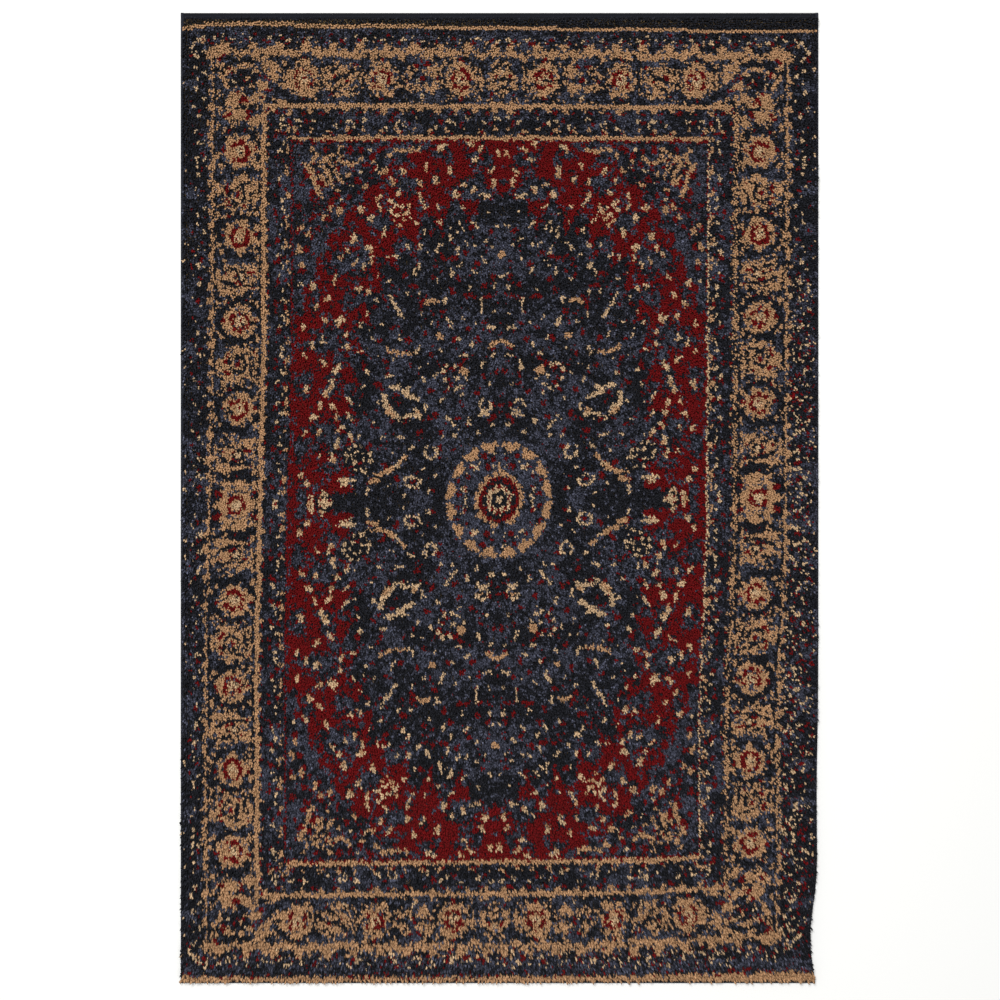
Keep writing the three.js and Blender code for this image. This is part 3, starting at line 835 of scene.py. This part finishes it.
class Tufts:
    """Every tuft's root, yarn and shade. Tufts stand in a grid of columns and rows."""

    def __init__(self):
        chance = np.random.default_rng(SEED + 1)
        design = whole_design()
        rows, columns = design.shape
        self.column, self.row = (part.ravel() for part in np.meshgrid(range(columns), range(rows)))
        self.x = (self.column + 0.5) * COLUMN_PITCH - PILE_X
        self.y = (self.row + 0.5) * ROW_PITCH - PILE_Y
        x, y = break_up(*design_place(self.x, self.y), chance, rows, columns)
        column = ((x + PILE_X) / COLUMN_PITCH).astype(int).clip(0, columns - 1)
        row = ((y + PILE_Y) / ROW_PITCH).astype(int).clip(0, rows - 1)
        clumps = [clump_noise(chance, rows, columns) for _ in range(4)]
        self.yarn = side_wear(design[row, column], x, y, self.x, self.y, clumps[3], chance)
        count = len(self.x)
        self.shade = np.exp(0.09 * chance.standard_normal(count) + 0.08 * clumps[2]).clip(0.4, 1.9)
        dark = self.yarn < CRIMSON
        self.shade[dark] *= np.exp(0.42 * chance.standard_normal(int(dark.sum())) - 0.06).clip(0.3, 3)
        self.spin = chance.random(count) * 2 * math.pi
        self.push = 0.3 * chance.standard_normal((count, 2)).clip(-2, 2)
        self.push += 0.5 * np.stack(clumps[:2], axis=-1).clip(-2, 2)
        self.lean_over(chance)

    def lean_over(self, chance):
        """Each tuft's tip, from its root, and flow, how its tip spreads along its lean."""
        count = len(self.x)
        sway_x = np.sin(self.x / 47 + np.sin(self.y / 71)) + np.sin(self.y / 23 + self.x / 90)
        sway_y = np.sin(self.y / 39 + np.sin(self.x / 53)) + np.sin(self.x / 19 - self.y / 80)
        lean = np.tile(LEAN, (count, 1))
        lean[:, 0] += SWAY * sway_x + OWN_LEAN * chance.standard_normal(count).clip(-2, 2)
        lean[:, 1] += SWAY * sway_y + OWN_LEAN * chance.standard_normal(count).clip(-2, 2)
        # The last rows stand up at the far end, and the first columns lean out over the left side
        last_rows = ((self.y - PILE_Y + 14) / 12).clip(0, 1)
        lean[:, 1] += 0.6 * last_rows
        first_columns = ((-PILE_X + 9 - self.x) / 8).clip(0, 1)
        lean[:, 0] -= 0.34 * first_columns
        # Towards the near end the pile lies further over and fans out to the sides
        near = (-self.y / HALF_LENGTH).clip(0, 1) ** 2
        lean[:, 0] += NEAR_LEAN * near * (self.x / HALF_WIDTH - 0.2)
        lean[:, 0] += OWN_LEAN * near * chance.standard_normal(count)
        lean[:, 1] -= NEAR_LEAN * near * (1 + 0.5 * chance.standard_normal(count).clip(-2, 2))
        lean /= np.linalg.norm(lean, axis=1)[:, None]
        self.flow = lean[:, :2] / np.linalg.norm(lean[:, :2], axis=1)[:, None]
        self.flow *= np.sqrt(0.9 * near)[:, None]
        uneven = 0.06 + 0.16 * near
        length = TUFT_LENGTH * (1 + uneven * chance.standard_normal(count).clip(-2.5, 2))
        self.tip = lean * length[:, None]
        self.tip[:, 2] = self.tip[:, 2].clip(0, PILE_TOP - WEAVE_TOP)
        self.tip[:, 1] = self.tip[:, 1].clip(2.5 - HALF_LENGTH - self.y, None)


def yarn_colours():
    """Each yarn's colour as linear light."""
    return np.array([linear(colour) for colour in YARN_COLOURS])


def folded_cells(column, row):
    """A place for each tuft on a nearly square sheet: a long strip of pile is folded into runs."""
    column = column - column.min()
    row = row - row.min()
    wide = column.max() + 2
    tall = row.max() + 1
    if wide > tall:
        row, column = folded_cells(row, column)[:2]
        return column, row, max(column.max(), row.max()) + 1
    runs = max(1, round(math.sqrt(tall / wide)))
    run_length = math.ceil(tall / runs)
    column = column + wide * (row // run_length)
    row = row % run_length
    return column, row, max(column.max(), row.max()) + 1


def pile_piece(name, tufts, chosen, slot, node):
    """One zone of the pile: a three-sided yarn, wider at its cut tip, for each chosen tuft."""
    count = int(chosen.sum())
    root_x, root_y = tufts.x[chosen], tufts.y[chosen]
    tip, push, flow = tufts.tip[chosen], tufts.push[chosen], tufts.flow[chosen][:, None, :]
    corner = tufts.spin[chosen][:, None] + np.arange(3) * 2 * math.pi / 3
    around = np.stack([np.cos(corner), np.sin(corner)], axis=-1)
    cut = around + (around * flow).sum(axis=-1, keepdims=True) * flow
    points = np.empty((count, 6, 3))
    points[:, :3, 0] = root_x[:, None] + ROOT_RADIUS * around[..., 0]
    points[:, :3, 1] = root_y[:, None] + ROOT_RADIUS * around[..., 1]
    points[:, :3, 2] = WEAVE_TOP - ROOT_DEPTH
    points[:, 3:, 0] = (root_x + push[:, 0] + tip[:, 0])[:, None] + TIP_RADIUS * cut[..., 0]
    points[:, 3:, 1] = (root_y + push[:, 1] + tip[:, 1])[:, None] + TIP_RADIUS * cut[..., 1]
    points[:, 3:, 2] = WEAVE_TOP + tip[:, 2][:, None] + 0.35 * around[..., 0]
    points = np.stack(settle(points[..., 0], points[..., 1], points[..., 2]), axis=-1)
    corners = np.array([0, 1, 4, 3, 1, 2, 5, 4, 2, 0, 3, 5, 3, 4, 5])
    loops = (corners + 6 * np.arange(count)[:, None]).ravel()
    sizes = np.tile([4, 4, 4, 3], count)
    mesh = mesh_from_arrays(name, points.reshape(-1, 3), loops, sizes)
    add_yarn_colour(mesh, tufts, chosen)
    add_bake_places(mesh, tufts, chosen, corners)
    return add_piece(name, mesh, MATERIALS["pile"], slot, node)


def add_yarn_colour(mesh, tufts, chosen):
    """Each tuft's yarn colour, with its own shade, on all its corners."""
    colour = yarn_colours()[tufts.yarn[chosen]] * tufts.shade[chosen][:, None]
    with_alpha = np.ones((len(colour), 6, 4), dtype=np.float32)
    with_alpha[:, :, :3] = colour[:, None, :]
    layer = mesh.color_attributes.new("yarn", "FLOAT_COLOR", "POINT")
    layer.data.foreach_set("color", with_alpha.ravel())


def add_bake_places(mesh, tufts, chosen, corners):
    """A place of its own for each tuft on a map made for the finished colours."""
    column, row, side = folded_cells(tufts.column[chosen], tufts.row[chosen])
    turn = np.radians([90, 210, 330])
    ring = np.stack([np.cos(turn), np.sin(turn)], axis=-1)
    in_cell = 0.5 + np.concatenate([0.5 * ring, 0.3 * ring])
    cells = np.stack([column, row], axis=-1)[:, None, :]
    places = (cells + in_cell[corners][None]) / side
    layer = mesh.uv_layers.new(name="OFBake")
    layer.data.foreach_set("uv", places.astype(np.float32).ravel())


def pile_zones(x, y):
    """For each CAD pile node: its name, its slot, and which tufts stand on it."""
    ends = (("far", y > 0), ("near", y < 0))
    sides = (("right", x > 0), ("left", x < 0))
    end_line = np.abs(y) > GUARD[1]
    for spot, here in ends:
        yield f"pile_end_line_{spot}", "tan_pile", end_line & here
    frames = (
        ("pile_outer_guard", "slate_pile", (HALF_WIDTH, GUARD[1]), GUARD, BORDER),
        ("pile_main_border", "tan_pile", BORDER, BORDER, INNER_GUARD),
        ("pile_inner_guard", "navy_pile", INNER_GUARD, INNER_GUARD, LINE),
        ("pile_field_line", "tan_pile", LINE, LINE, FIELD),
    )
    for name, slot, limit, outer, inner in frames:
        zone = within(limit, x, y) & ~within(inner, x, y) & ~end_line
        across = (np.abs(x) - inner[0]) / (outer[0] - inner[0])
        along = (np.abs(y) - inner[1]) / (outer[1] - inner[1])
        for spot, here in ends:
            yield f"{name}_{spot}", slot, zone & (across <= along) & here
        for spot, here in sides:
            yield f"{name}_{spot}", slot, zone & (across > along) & here
    field = within(FIELD, x, y)
    arch = inside(arch_edge(), x, y)
    ground = inside(arcade_edge(), x, y)
    disc = medallion_ring(RINGS[0], x, y)
    for end, here in ends:
        for side, there in sides:
            quarter = here & there
            yield f"pile_spandrel_{end}_{side}", "slate_pile", field & ~arch & quarter
            yield f"pile_red_arcade_{end}_{side}", "crimson_pile", field & arch & ~ground & quarter
            yield f"pile_dark_ground_{end}_{side}", "navy_pile", ground & ~disc & quarter
    rings = RINGS + [(0.001, 0.001)]
    names = ("petals", "ground", "ring", "heart")
    slots = ("tan_pile", "slate_pile", "tan_pile", "crimson_pile")
    for i, (name, slot) in enumerate(zip(names, slots)):
        band = medallion_ring(rings[i], x, y) & ~medallion_ring(rings[i + 1], x, y)
        yield f"pile_medallion_{name}", slot, band


def make_pile():
    """All the pile, zone by zone. The arcade and the ground are each made in four quarters."""
    tufts = Tufts()
    pieces = []
    for name, slot, chosen in pile_zones(tufts.x, tufts.y):
        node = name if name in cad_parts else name.rsplit("_", 2)[0]
        pieces.append(pile_piece(name.replace("pile_", "tufts_"), tufts, chosen, slot, node))
    return pieces


# ---------------------------------------------------------------- meshes

def mesh_from_arrays(name, points, loops, sizes, smooth=True):
    """points are in millimetres. loops lists every face's corners in turn, and sizes their numbers."""
    mesh = bpy.data.meshes.new(name)
    mesh.vertices.add(len(points))
    mesh.vertices.foreach_set("co", (np.asarray(points) * MM).astype(np.float32).ravel())
    mesh.loops.add(len(loops))
    mesh.loops.foreach_set("vertex_index", np.asarray(loops, dtype=np.int32))
    mesh.polygons.add(len(sizes))
    starts = np.concatenate([[0], np.cumsum(sizes)[:-1]]).astype(np.int32)
    mesh.polygons.foreach_set("loop_start", starts)
    mesh.polygons.foreach_set("use_smooth", np.full(len(sizes), smooth))
    mesh.update(calc_edges=True)
    mesh.validate()
    return mesh


def add_piece(name, mesh, material, slot, *nodes):
    """A finished piece on the rug's one body, standing for its CAD nodes."""
    piece = bpy.data.objects.new(name, mesh)
    bpy.context.scene.collection.objects.link(piece)
    mesh.materials.append(material)
    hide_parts(*nodes)
    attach(piece, "root")
    return piece


def swept(name, sections):
    """A closed body through sections, an array of (section, point, xyz) in millimetres."""
    count, around = sections.shape[:2]
    ring = np.arange(around)
    after = (ring + 1) % around
    start = around * np.arange(count - 1)[:, None]
    corners = [start + ring, start + after, start + around + after, start + around + ring]
    quads = np.stack(corners, axis=-1)
    loops = [quads.reshape(-1), ring[::-1], around * (count - 1) + ring]
    sizes = np.concatenate([np.full(around * (count - 1), 4), [around, around]])
    x, y, z = (sections[..., i] for i in range(3))
    points = np.stack(settle(x, y, z), axis=-1).reshape(-1, 3)
    return mesh_from_arrays(name, points, np.concatenate(loops), sizes)


# ---------------------------------------------------------------- foundation and edges

def slab(name, half_width, half_length, low, high, rib):
    """A thin slab whose two faces have a rib of that height for each pick of weft."""
    across_step = 130
    along_step = ROW_PITCH / 4
    across = np.linspace(-half_width, half_width, round(2 * half_width / across_step) + 1)
    along = np.linspace(-half_length, half_length, round(2 * half_length / along_step) + 1)
    sections = np.empty((len(along), 2 * len(across), 3))
    sections[:, : len(across), 0] = across
    sections[:, len(across):, 0] = across[::-1]
    sections[..., 1] = along[:, None]
    wave = rib * np.abs(np.sin(math.pi * sections[..., 1] / ROW_PITCH))
    wave[0] = wave[-1] = 0
    sections[:, : len(across), 2] = (low + wave)[:, : len(across)]
    sections[:, len(across):, 2] = (high - wave)[:, len(across):]
    return swept(name, sections)


def make_foundation():
    """The latex coat, ribbed by the picks of weft above it, and the ground weave."""
    coat_mesh = slab("latex_coat", PILE_X, PILE_Y, 0, COAT, 0.16)
    coat = add_piece("latex_coat", coat_mesh, MATERIALS["latex"], "latex_back", "latex_backing")
    ground_mesh = slab("woven_ground", SELVEDGE_X, WEAVE_END_Y, COAT, WEAVE_TOP, 0.08)
    ground = add_piece("woven_ground", ground_mesh, MATERIALS["ground"], "ground_yarn", "ground_weave")
    return coat, ground


def make_cord(name, side, node):
    """The three-ply cotton cord inside an overlocked side."""
    plies = 3
    twist_length = 9.0
    step = 1.5
    sides = 12
    along = np.linspace(-HALF_LENGTH, HALF_LENGTH, round(2 * HALF_LENGTH / step) + 1)[:, None]
    angle = np.linspace(0, 2 * math.pi, sides, endpoint=False)[None, :]
    turned = plies * (angle - 2 * math.pi * along / twist_length)
    radius = CORD_RADIUS * (0.80 + 0.06 * np.cos(turned))
    sections = np.empty((len(along), sides, 3))
    sections[..., 0] = side * (CORD_OUTSIDE - CORD_RADIUS + radius * np.cos(angle))
    sections[..., 1] = -along
    sections[..., 2] = COAT + CORD_RADIUS + radius * np.sin(angle)
    if side < 0:
        sections = sections[:, ::-1]
    return add_piece(name, swept(name, sections), MATERIALS["cord"], "ground_yarn", node)


def sleeve_section():
    """The overlocking's outside and then its inside, in X and Z, open towards the rug."""
    middle_x = CORD_OUTSIDE - CORD_RADIUS
    middle_z = COAT + CORD_RADIUS
    wall = HALF_WIDTH - CORD_OUTSIDE
    outer = CORD_RADIUS + wall
    turn = np.radians(np.linspace(-90, 90, 9))
    outside = [(PILE_X, 0), ((PILE_X + middle_x) / 2, 0)]
    outside += [(middle_x + outer * math.cos(a), middle_z + outer * math.sin(a)) for a in turn]
    outside += [(SELVEDGE_X - wall, WEAVE_TOP + wall + 0.4), (PILE_X, WEAVE_TOP + wall)]
    cavity = [(PILE_X, WEAVE_TOP), (SELVEDGE_X, WEAVE_TOP)]
    for turn in np.radians([150, 90, 30, -30, -90, -150]):
        cavity.append((middle_x + CORD_RADIUS * math.cos(turn), middle_z + CORD_RADIUS * math.sin(turn)))
    return outside, cavity + [(PILE_X, COAT)]


def make_sleeve(name, side, node):
    """Overlock yarn wrapped round the side, a turn for each pick, with a rib for each turn."""
    outside, cavity = sleeve_section()
    turns = ROW_PITCH
    groove = 0.45
    along = np.arange(-HALF_LENGTH, HALF_LENGTH + 0.01, turns / 4)
    outline = np.array(outside + cavity)
    middle = np.array([CORD_OUTSIDE - CORD_RADIUS, COAT + CORD_RADIUS])
    away = outline - middle
    away /= np.linalg.norm(away, axis=1)[:, None]
    slant = np.linspace(0, turns, len(outside))
    sections = np.empty((len(along), len(outline), 3))
    sections[..., 1] = -along[:, None]
    for i, (x, z) in enumerate(outline):
        dip = 0.0
        if i < len(outside):
            dip = groove * (1 - np.abs(np.sin(math.pi * (along + slant[i]) / turns)) ** 0.6)
        sections[:, i, 0] = side * (x - dip * away[i, 0])
        sections[:, i, 2] = np.maximum(z - dip * away[i, 1], 0)
    if side < 0:
        sections = sections[:, ::-1]
    return add_piece(name, swept(name, sections), MATERIALS["overlock"], "overlock_yarn", node)


def make_tape(name, end, node):
    """Woven tape folded round the cut end: one leaf under the weave and one over it."""
    section = [
        (PILE_Y, 0), (HALF_LENGTH - 1, 0), (HALF_LENGTH - 0.3, 0.3), (HALF_LENGTH, 1),
        (HALF_LENGTH, TAPE_TOP - 1), (HALF_LENGTH - 0.3, TAPE_TOP - 0.3),
        (HALF_LENGTH - 1, TAPE_TOP), (HALF_LENGTH - 4, TAPE_TOP),
        (PILE_Y + 5.4, TAPE_TOP - 0.35), (PILE_Y + 2, TAPE_TOP), (PILE_Y, TAPE_TOP), (PILE_Y, WEAVE_TOP),
        (WEAVE_END_Y, WEAVE_TOP), (WEAVE_END_Y, COAT), (PILE_Y, COAT),
    ]
    stitch = 4.0
    pull = 0.25
    across = np.linspace(-PILE_X, PILE_X, 2 * COLUMNS + 1)
    sections = np.empty((len(across), len(section), 3))
    sections[..., 0] = end * across[:, None]
    for i, (y, z) in enumerate(section):
        pucker = 0.0
        if z == TAPE_TOP and y > PILE_Y + 1:
            pucker = pull * np.abs(np.sin(math.pi * across / stitch))
        sections[:, i, 1] = end * y
        sections[:, i, 2] = z - pucker
    return add_piece(name, swept(name, sections[:, ::-1]), MATERIALS["tape"], "tape", node)


def make_stitches(name, end, node):
    """A row of lockstitch along the tape: a short length of thread for each stitch."""
    low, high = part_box(node)
    y = end * abs(low[1] + high[1]) / 2 / MM
    top = high[2] / MM
    stitch = 4.0
    count = int(2 * PILE_X / stitch)
    sides = 6
    spread = np.array([-1.75, -1.2, 0, 1.2, 1.75])
    lift = np.array([-0.5, 0.0, 0.15, 0.0, -0.5])
    size = np.array([0.28, 0.36, 0.4, 0.36, 0.28])
    angle = np.linspace(0, 2 * math.pi, sides, endpoint=False)
    middle = (np.arange(count) + 0.5) * stitch - PILE_X
    sections = np.empty((count, len(spread), sides, 3))
    sections[..., 0] = (middle[:, None] + spread)[..., None]
    sections[..., 1] = y + size[None, :, None] * np.cos(angle)
    sections[..., 2] = top - 0.35 + lift[None, :, None] + size[None, :, None] * np.sin(angle)
    ring = np.arange(sides)
    after = (ring + 1) % sides
    last = sides * (len(spread) - 1)
    start = sides * np.arange(len(spread) - 1)[:, None]
    quads = np.stack([start + ring, start + sides + ring, start + sides + after, start + after], axis=-1)
    one = np.concatenate([quads.ravel(), ring, last + ring[::-1]])
    loops = (one + sides * len(spread) * np.arange(count)[:, None]).ravel()
    sizes = np.tile([4] * last + [sides, sides], count)
    points = np.stack(settle(sections[..., 0], sections[..., 1], sections[..., 2]), axis=-1)
    mesh = mesh_from_arrays(name, points.reshape(-1, 3), loops, sizes)
    return add_piece(name, mesh, MATERIALS["thread"], "stitch_thread", node)


def make_edges():
    """The overlocked sides, the taped ends, and what is inside and over them."""
    pieces = []
    for spot, side in (("right", 1), ("left", -1)):
        pieces.append(make_cord(f"edge_cord_{spot}", side, f"side_cord_{spot}"))
        pieces.append(make_sleeve(f"overlocking_{spot}", side, f"side_overlock_{spot}"))
    for spot, end in (("far", 1), ("near", -1)):
        pieces.append(make_tape(f"binding_tape_{spot}", end, f"end_tape_{spot}"))
        pieces.append(make_stitches(f"lockstitch_{spot}", end, f"end_stitch_{spot}"))
    return pieces


# ---------------------------------------------------------------- materials

def linear(colour):
    """An sRGB hex colour as linear light."""
    parts = [int(colour[i:i + 2], 16) / 255 for i in (1, 3, 5)]
    return [p / 12.92 if p <= 0.04045 else ((p + 0.055) / 1.055) ** 2.4 for p in parts]


def add_node(tree, kind, settings=None, **inputs):
    """A node with its settings. Each input is a value or another node's output. An input without a
    name of its own is given by its number, after an underscore."""
    node = tree.nodes.new("ShaderNode" + kind)
    for name, value in (settings or {}).items():
        setattr(node, name, value)
    for name, value in inputs.items():
        key = int(name[1:]) if name[1:].isdigit() else name.replace("_", " ")
        socket = node.inputs[key]
        if isinstance(value, bpy.types.NodeSocket):
            tree.links.new(value, socket)
        else:
            socket.default_value = value
    return node


def new_material(name):
    """A material with one dull shader, and the node that gives places on the piece."""
    material = bpy.data.materials.new(name)
    material.use_nodes = True
    tree = material.node_tree
    tree.nodes.clear()
    output = add_node(tree, "OutputMaterial")
    shader = add_node(tree, "BsdfPrincipled")
    tree.links.new(shader.outputs["BSDF"], output.inputs["Surface"])
    shader.inputs["IOR"].default_value = 1.5
    shader.inputs["Specular IOR Level"].default_value = 0.15
    place = add_node(tree, "TexCoord").outputs["Object"]
    return material, tree, shader, place


def rgba(colour):
    """An sRGB hex colour as a node takes it."""
    return (*linear(colour), 1.0)


def bands(tree, place, direction, spacing, distortion):
    """Ridges two spacings apart, for one yarn over and the next under, or a little more if slanting."""
    scale = 1 / (6.3 * spacing * MM)
    return add_node(
        tree, "TexWave", {"bands_direction": direction}, Vector=place, Scale=scale,
        Distortion=distortion, Detail=2.0,
    ).outputs["Fac"]


def finish(tree, shader, heights, shadow, colour, grain, rough, strength, relief):
    """Shadow in the hollows, colour on the ridges, and a roughness that follows the grain. The height
    is the first of the heights times the second, plus the third."""
    first, times, plus = heights
    height = add_node(tree, "Math", {"operation": "MULTIPLY_ADD"}, _0=first, _1=times, _2=plus)
    height = height.outputs[0]
    mix = add_node(tree, "Mix", {"data_type": "RGBA"}, _0=height, _6=rgba(shadow), _7=rgba(colour))
    tree.links.new(mix.outputs[2], shader.inputs["Base Color"])
    uneven = add_node(tree, "MapRange", Value=grain, To_Min=rough[0], To_Max=rough[1])
    tree.links.new(uneven.outputs[0], shader.inputs["Roughness"])
    bump = add_node(tree, "Bump", Strength=strength, Distance=relief * MM, Height=height)
    tree.links.new(bump.outputs["Normal"], shader.inputs["Normal"])


def cut_pile_yarn():
    """Heat-set polypropylene yarn, cut: soft and matt, with painted shade that darkens it towards its
    root, where the tufts shade each other, and a faint gleam that follows the twist. The twist's slanting
    ridges are about 1 mm apart."""
    material, tree, shader, place = new_material("heat-set polypropylene cut pile")
    dye = add_node(tree, "Attribute", {"attribute_name": "yarn"}).outputs["Color"]
    uneven = add_node(tree, "TexNoise", Vector=place, Scale=1 / (14 * MM), Detail=3.0)
    # Painted shade: the yarn's colour is darkened from the top of the pile down to its roots, where shade
    # falls between the tufts
    height = add_node(tree, "SeparateXYZ", Vector=place).outputs["Z"]
    painted_root_shade = add_node(
        tree, "MapRange", Value=height, From_Min=WEAVE_TOP * MM, From_Max=PILE_TOP * MM,
        To_Min=0.35, To_Max=1.05,
    )
    tone = add_node(
        tree, "MapRange", Value=uneven.outputs["Fac"], From_Min=0.3, From_Max=0.7,
        To_Min=0.90, To_Max=1.10,
    )
    # The painted root shade times the random tone of the yarn
    light = add_node(
        tree, "Math", {"operation": "MULTIPLY"}, _0=painted_root_shade.outputs[0], _1=tone.outputs[0]
    )
    colour = add_node(tree, "VectorMath", {"operation": "SCALE"}, _0=dye, Scale=light.outputs[0])
    tree.links.new(colour.outputs["Vector"], shader.inputs["Base Color"])
    twist = add_node(
        tree, "TexWave", {"bands_direction": "DIAGONAL"}, Vector=place, Scale=1 / (3 * MM),
        Distortion=6.0, Detail=2.0,
    )
    gleam = add_node(tree, "MapRange", Value=twist.outputs["Fac"], To_Min=0.62, To_Max=0.82)
    tree.links.new(gleam.outputs[0], shader.inputs["Roughness"])
    bump = add_node(tree, "Bump", Strength=0.5, Distance=0.3 * MM, Height=twist.outputs["Fac"])
    tree.links.new(bump.outputs["Normal"], shader.inputs["Normal"])
    shader.inputs["Sheen Weight"].default_value = 0.015
    shader.inputs["Sheen Roughness"].default_value = 0.5
    return material


def woven_yarn(name, colour, shadow, across, along, relief, roughness):
    """Plain weave: over and under at the given yarn spacings in millimetres."""
    material, tree, shader, place = new_material(name)
    warp = bands(tree, place, "X", across, 1.5)
    weft = bands(tree, place, "Y", along, 1.5)
    cross = add_node(tree, "Math", {"operation": "MULTIPLY"}, _0=warp, _1=weft)
    fibre = add_node(tree, "TexNoise", Vector=place, Scale=1 / (0.8 * MM), Detail=4.0)
    fibre = fibre.outputs["Fac"]
    heights = (fibre, 0.4, cross.outputs[0])
    rough = (roughness - 0.1, roughness + 0.1)
    finish(tree, shader, heights, shadow, colour, fibre, rough, 0.8, relief)
    shader.inputs["Sheen Weight"].default_value = 0.02
    return material


def latex_coating():
    """Brushed-on latex over the back of the weave: matt, thin on the ribs and thick between them."""
    material, tree, shader, place = new_material("latex coating over the weave")
    warp = bands(tree, place, "X", COLUMN_PITCH, 2.0)
    smear = add_node(tree, "TexNoise", Vector=place, Scale=1 / (45 * MM), Detail=5.0)
    smear = smear.outputs["Fac"]
    heights = (warp, 0.35, smear)
    finish(tree, shader, heights, "#A89468", "#CFC3A8", smear, (0.75, 0.95), 0.7, 0.4)
    return material


def wrapped_yarn(name, colour, shadow, pitch):
    """Twisted yarn with its plies showing as slanting ridges, a little over two pitches apart."""
    material, tree, shader, place = new_material(name)
    plies = bands(tree, place, "DIAGONAL", pitch, 1.0)
    fibre = add_node(tree, "TexNoise", Vector=place, Scale=1 / (0.6 * MM), Detail=3.0)
    fibre = fibre.outputs["Fac"]
    finish(tree, shader, (fibre, 0.5, plies), shadow, colour, fibre, (0.55, 0.8), 0.7, 0.25)
    shader.inputs["Sheen Weight"].default_value = 0.02
    return material


def painted_floor():
    """A plain pale studio floor."""
    material, tree, shader, place = new_material("pale floor")
    grain = add_node(tree, "TexNoise", Vector=place, Scale=40.0, Detail=2.0)
    rough = add_node(tree, "MapRange", Value=grain.outputs["Fac"], To_Min=0.75, To_Max=0.85)
    tree.links.new(rough.outputs[0], shader.inputs["Roughness"])
    shader.inputs["Base Color"].default_value = rgba("#F4F4F2")
    return material


MATERIALS = {
    "pile": cut_pile_yarn(),
    "latex": latex_coating(),
    "ground": woven_yarn("plain-woven jute and cotton ground", "#A98F66", "#6E5A3C", 2.8, 2.8, 0.5, 0.85),
    "cord": wrapped_yarn("three-ply cotton cord", "#B7A27C", "#6E5C40", 3.0),
    "overlock": wrapped_yarn("wrapped overlock yarn", "#20232E", "#0C0D13", 1.0),
    "tape": woven_yarn("plain-woven binding tape", "#1A1C24", "#0B0C11", 1.0, 1.0, 0.3, 0.8),
    "thread": wrapped_yarn("twisted sewing thread", "#3A3E4C", "#181A22", 0.5),
}


# ---------------------------------------------------------------- floor, light and camera

def make_floor():
    """A wide floor just under the rug, in metres."""
    half = 6.0
    low = -0.5 * MM
    mesh = bpy.data.meshes.new("floor")
    corners = [(-half, -half, low), (half, -half, low), (half, half, low), (-half, half, low)]
    mesh.from_pydata(corners, [], [(0, 1, 2, 3)])
    mesh.materials.append(painted_floor())
    floor = bpy.data.objects.new("floor", mesh)
    bpy.context.scene.collection.objects.link(floor)


def add_light(name, place, target, size, power):
    """A square lamp at a place, aimed at a target."""
    data = bpy.data.lights.new(name, "AREA")
    data.shape = "SQUARE"
    data.size = size
    data.energy = power
    light = bpy.data.objects.new(name, data)
    light.location = place
    aim = np.array(target) - np.array(place)
    tilt = math.atan2(math.hypot(aim[0], aim[1]), -aim[2])
    light.rotation_euler = (tilt, 0, math.atan2(-aim[0], aim[1]))
    bpy.context.scene.collection.objects.link(light)


def make_light():
    """Two soft boxes and a pale room."""
    add_light("softbox above", (-0.9, 1.6, 4.4), (0, 0, 0), 1.6, 190)
    add_light("softbox near end", (0.3, -3.2, 3.0), (0, 0, 0), 2.4, 40)
    world = bpy.data.worlds.new("studio")
    world.use_nodes = True
    sky = world.node_tree.nodes["Background"]
    sky.inputs["Color"].default_value = rgba("#F6F6F6")
    sky.inputs["Strength"].default_value = 0.40
    bpy.context.scene.world = world


def make_camera():
    """Straight above the rug, with its far end at the top of the view. Its height is in metres."""
    height = 2.712
    view_angle = math.radians(38)
    data = bpy.data.cameras.new("camera")
    data.sensor_width = 36
    data.lens = data.sensor_width / 2 / math.tan(view_angle / 2)
    camera = bpy.data.objects.new("camera", data)
    camera.location = (0.9 * MM, -3.7 * MM, height)
    bpy.context.scene.collection.objects.link(camera)
    bpy.context.scene.camera = camera


make_camera()
make_light()
make_floor()
coat, ground = make_foundation()
pile = make_pile()
edges = make_edges()
bpy.context.scene.view_settings.view_transform = "Standard"
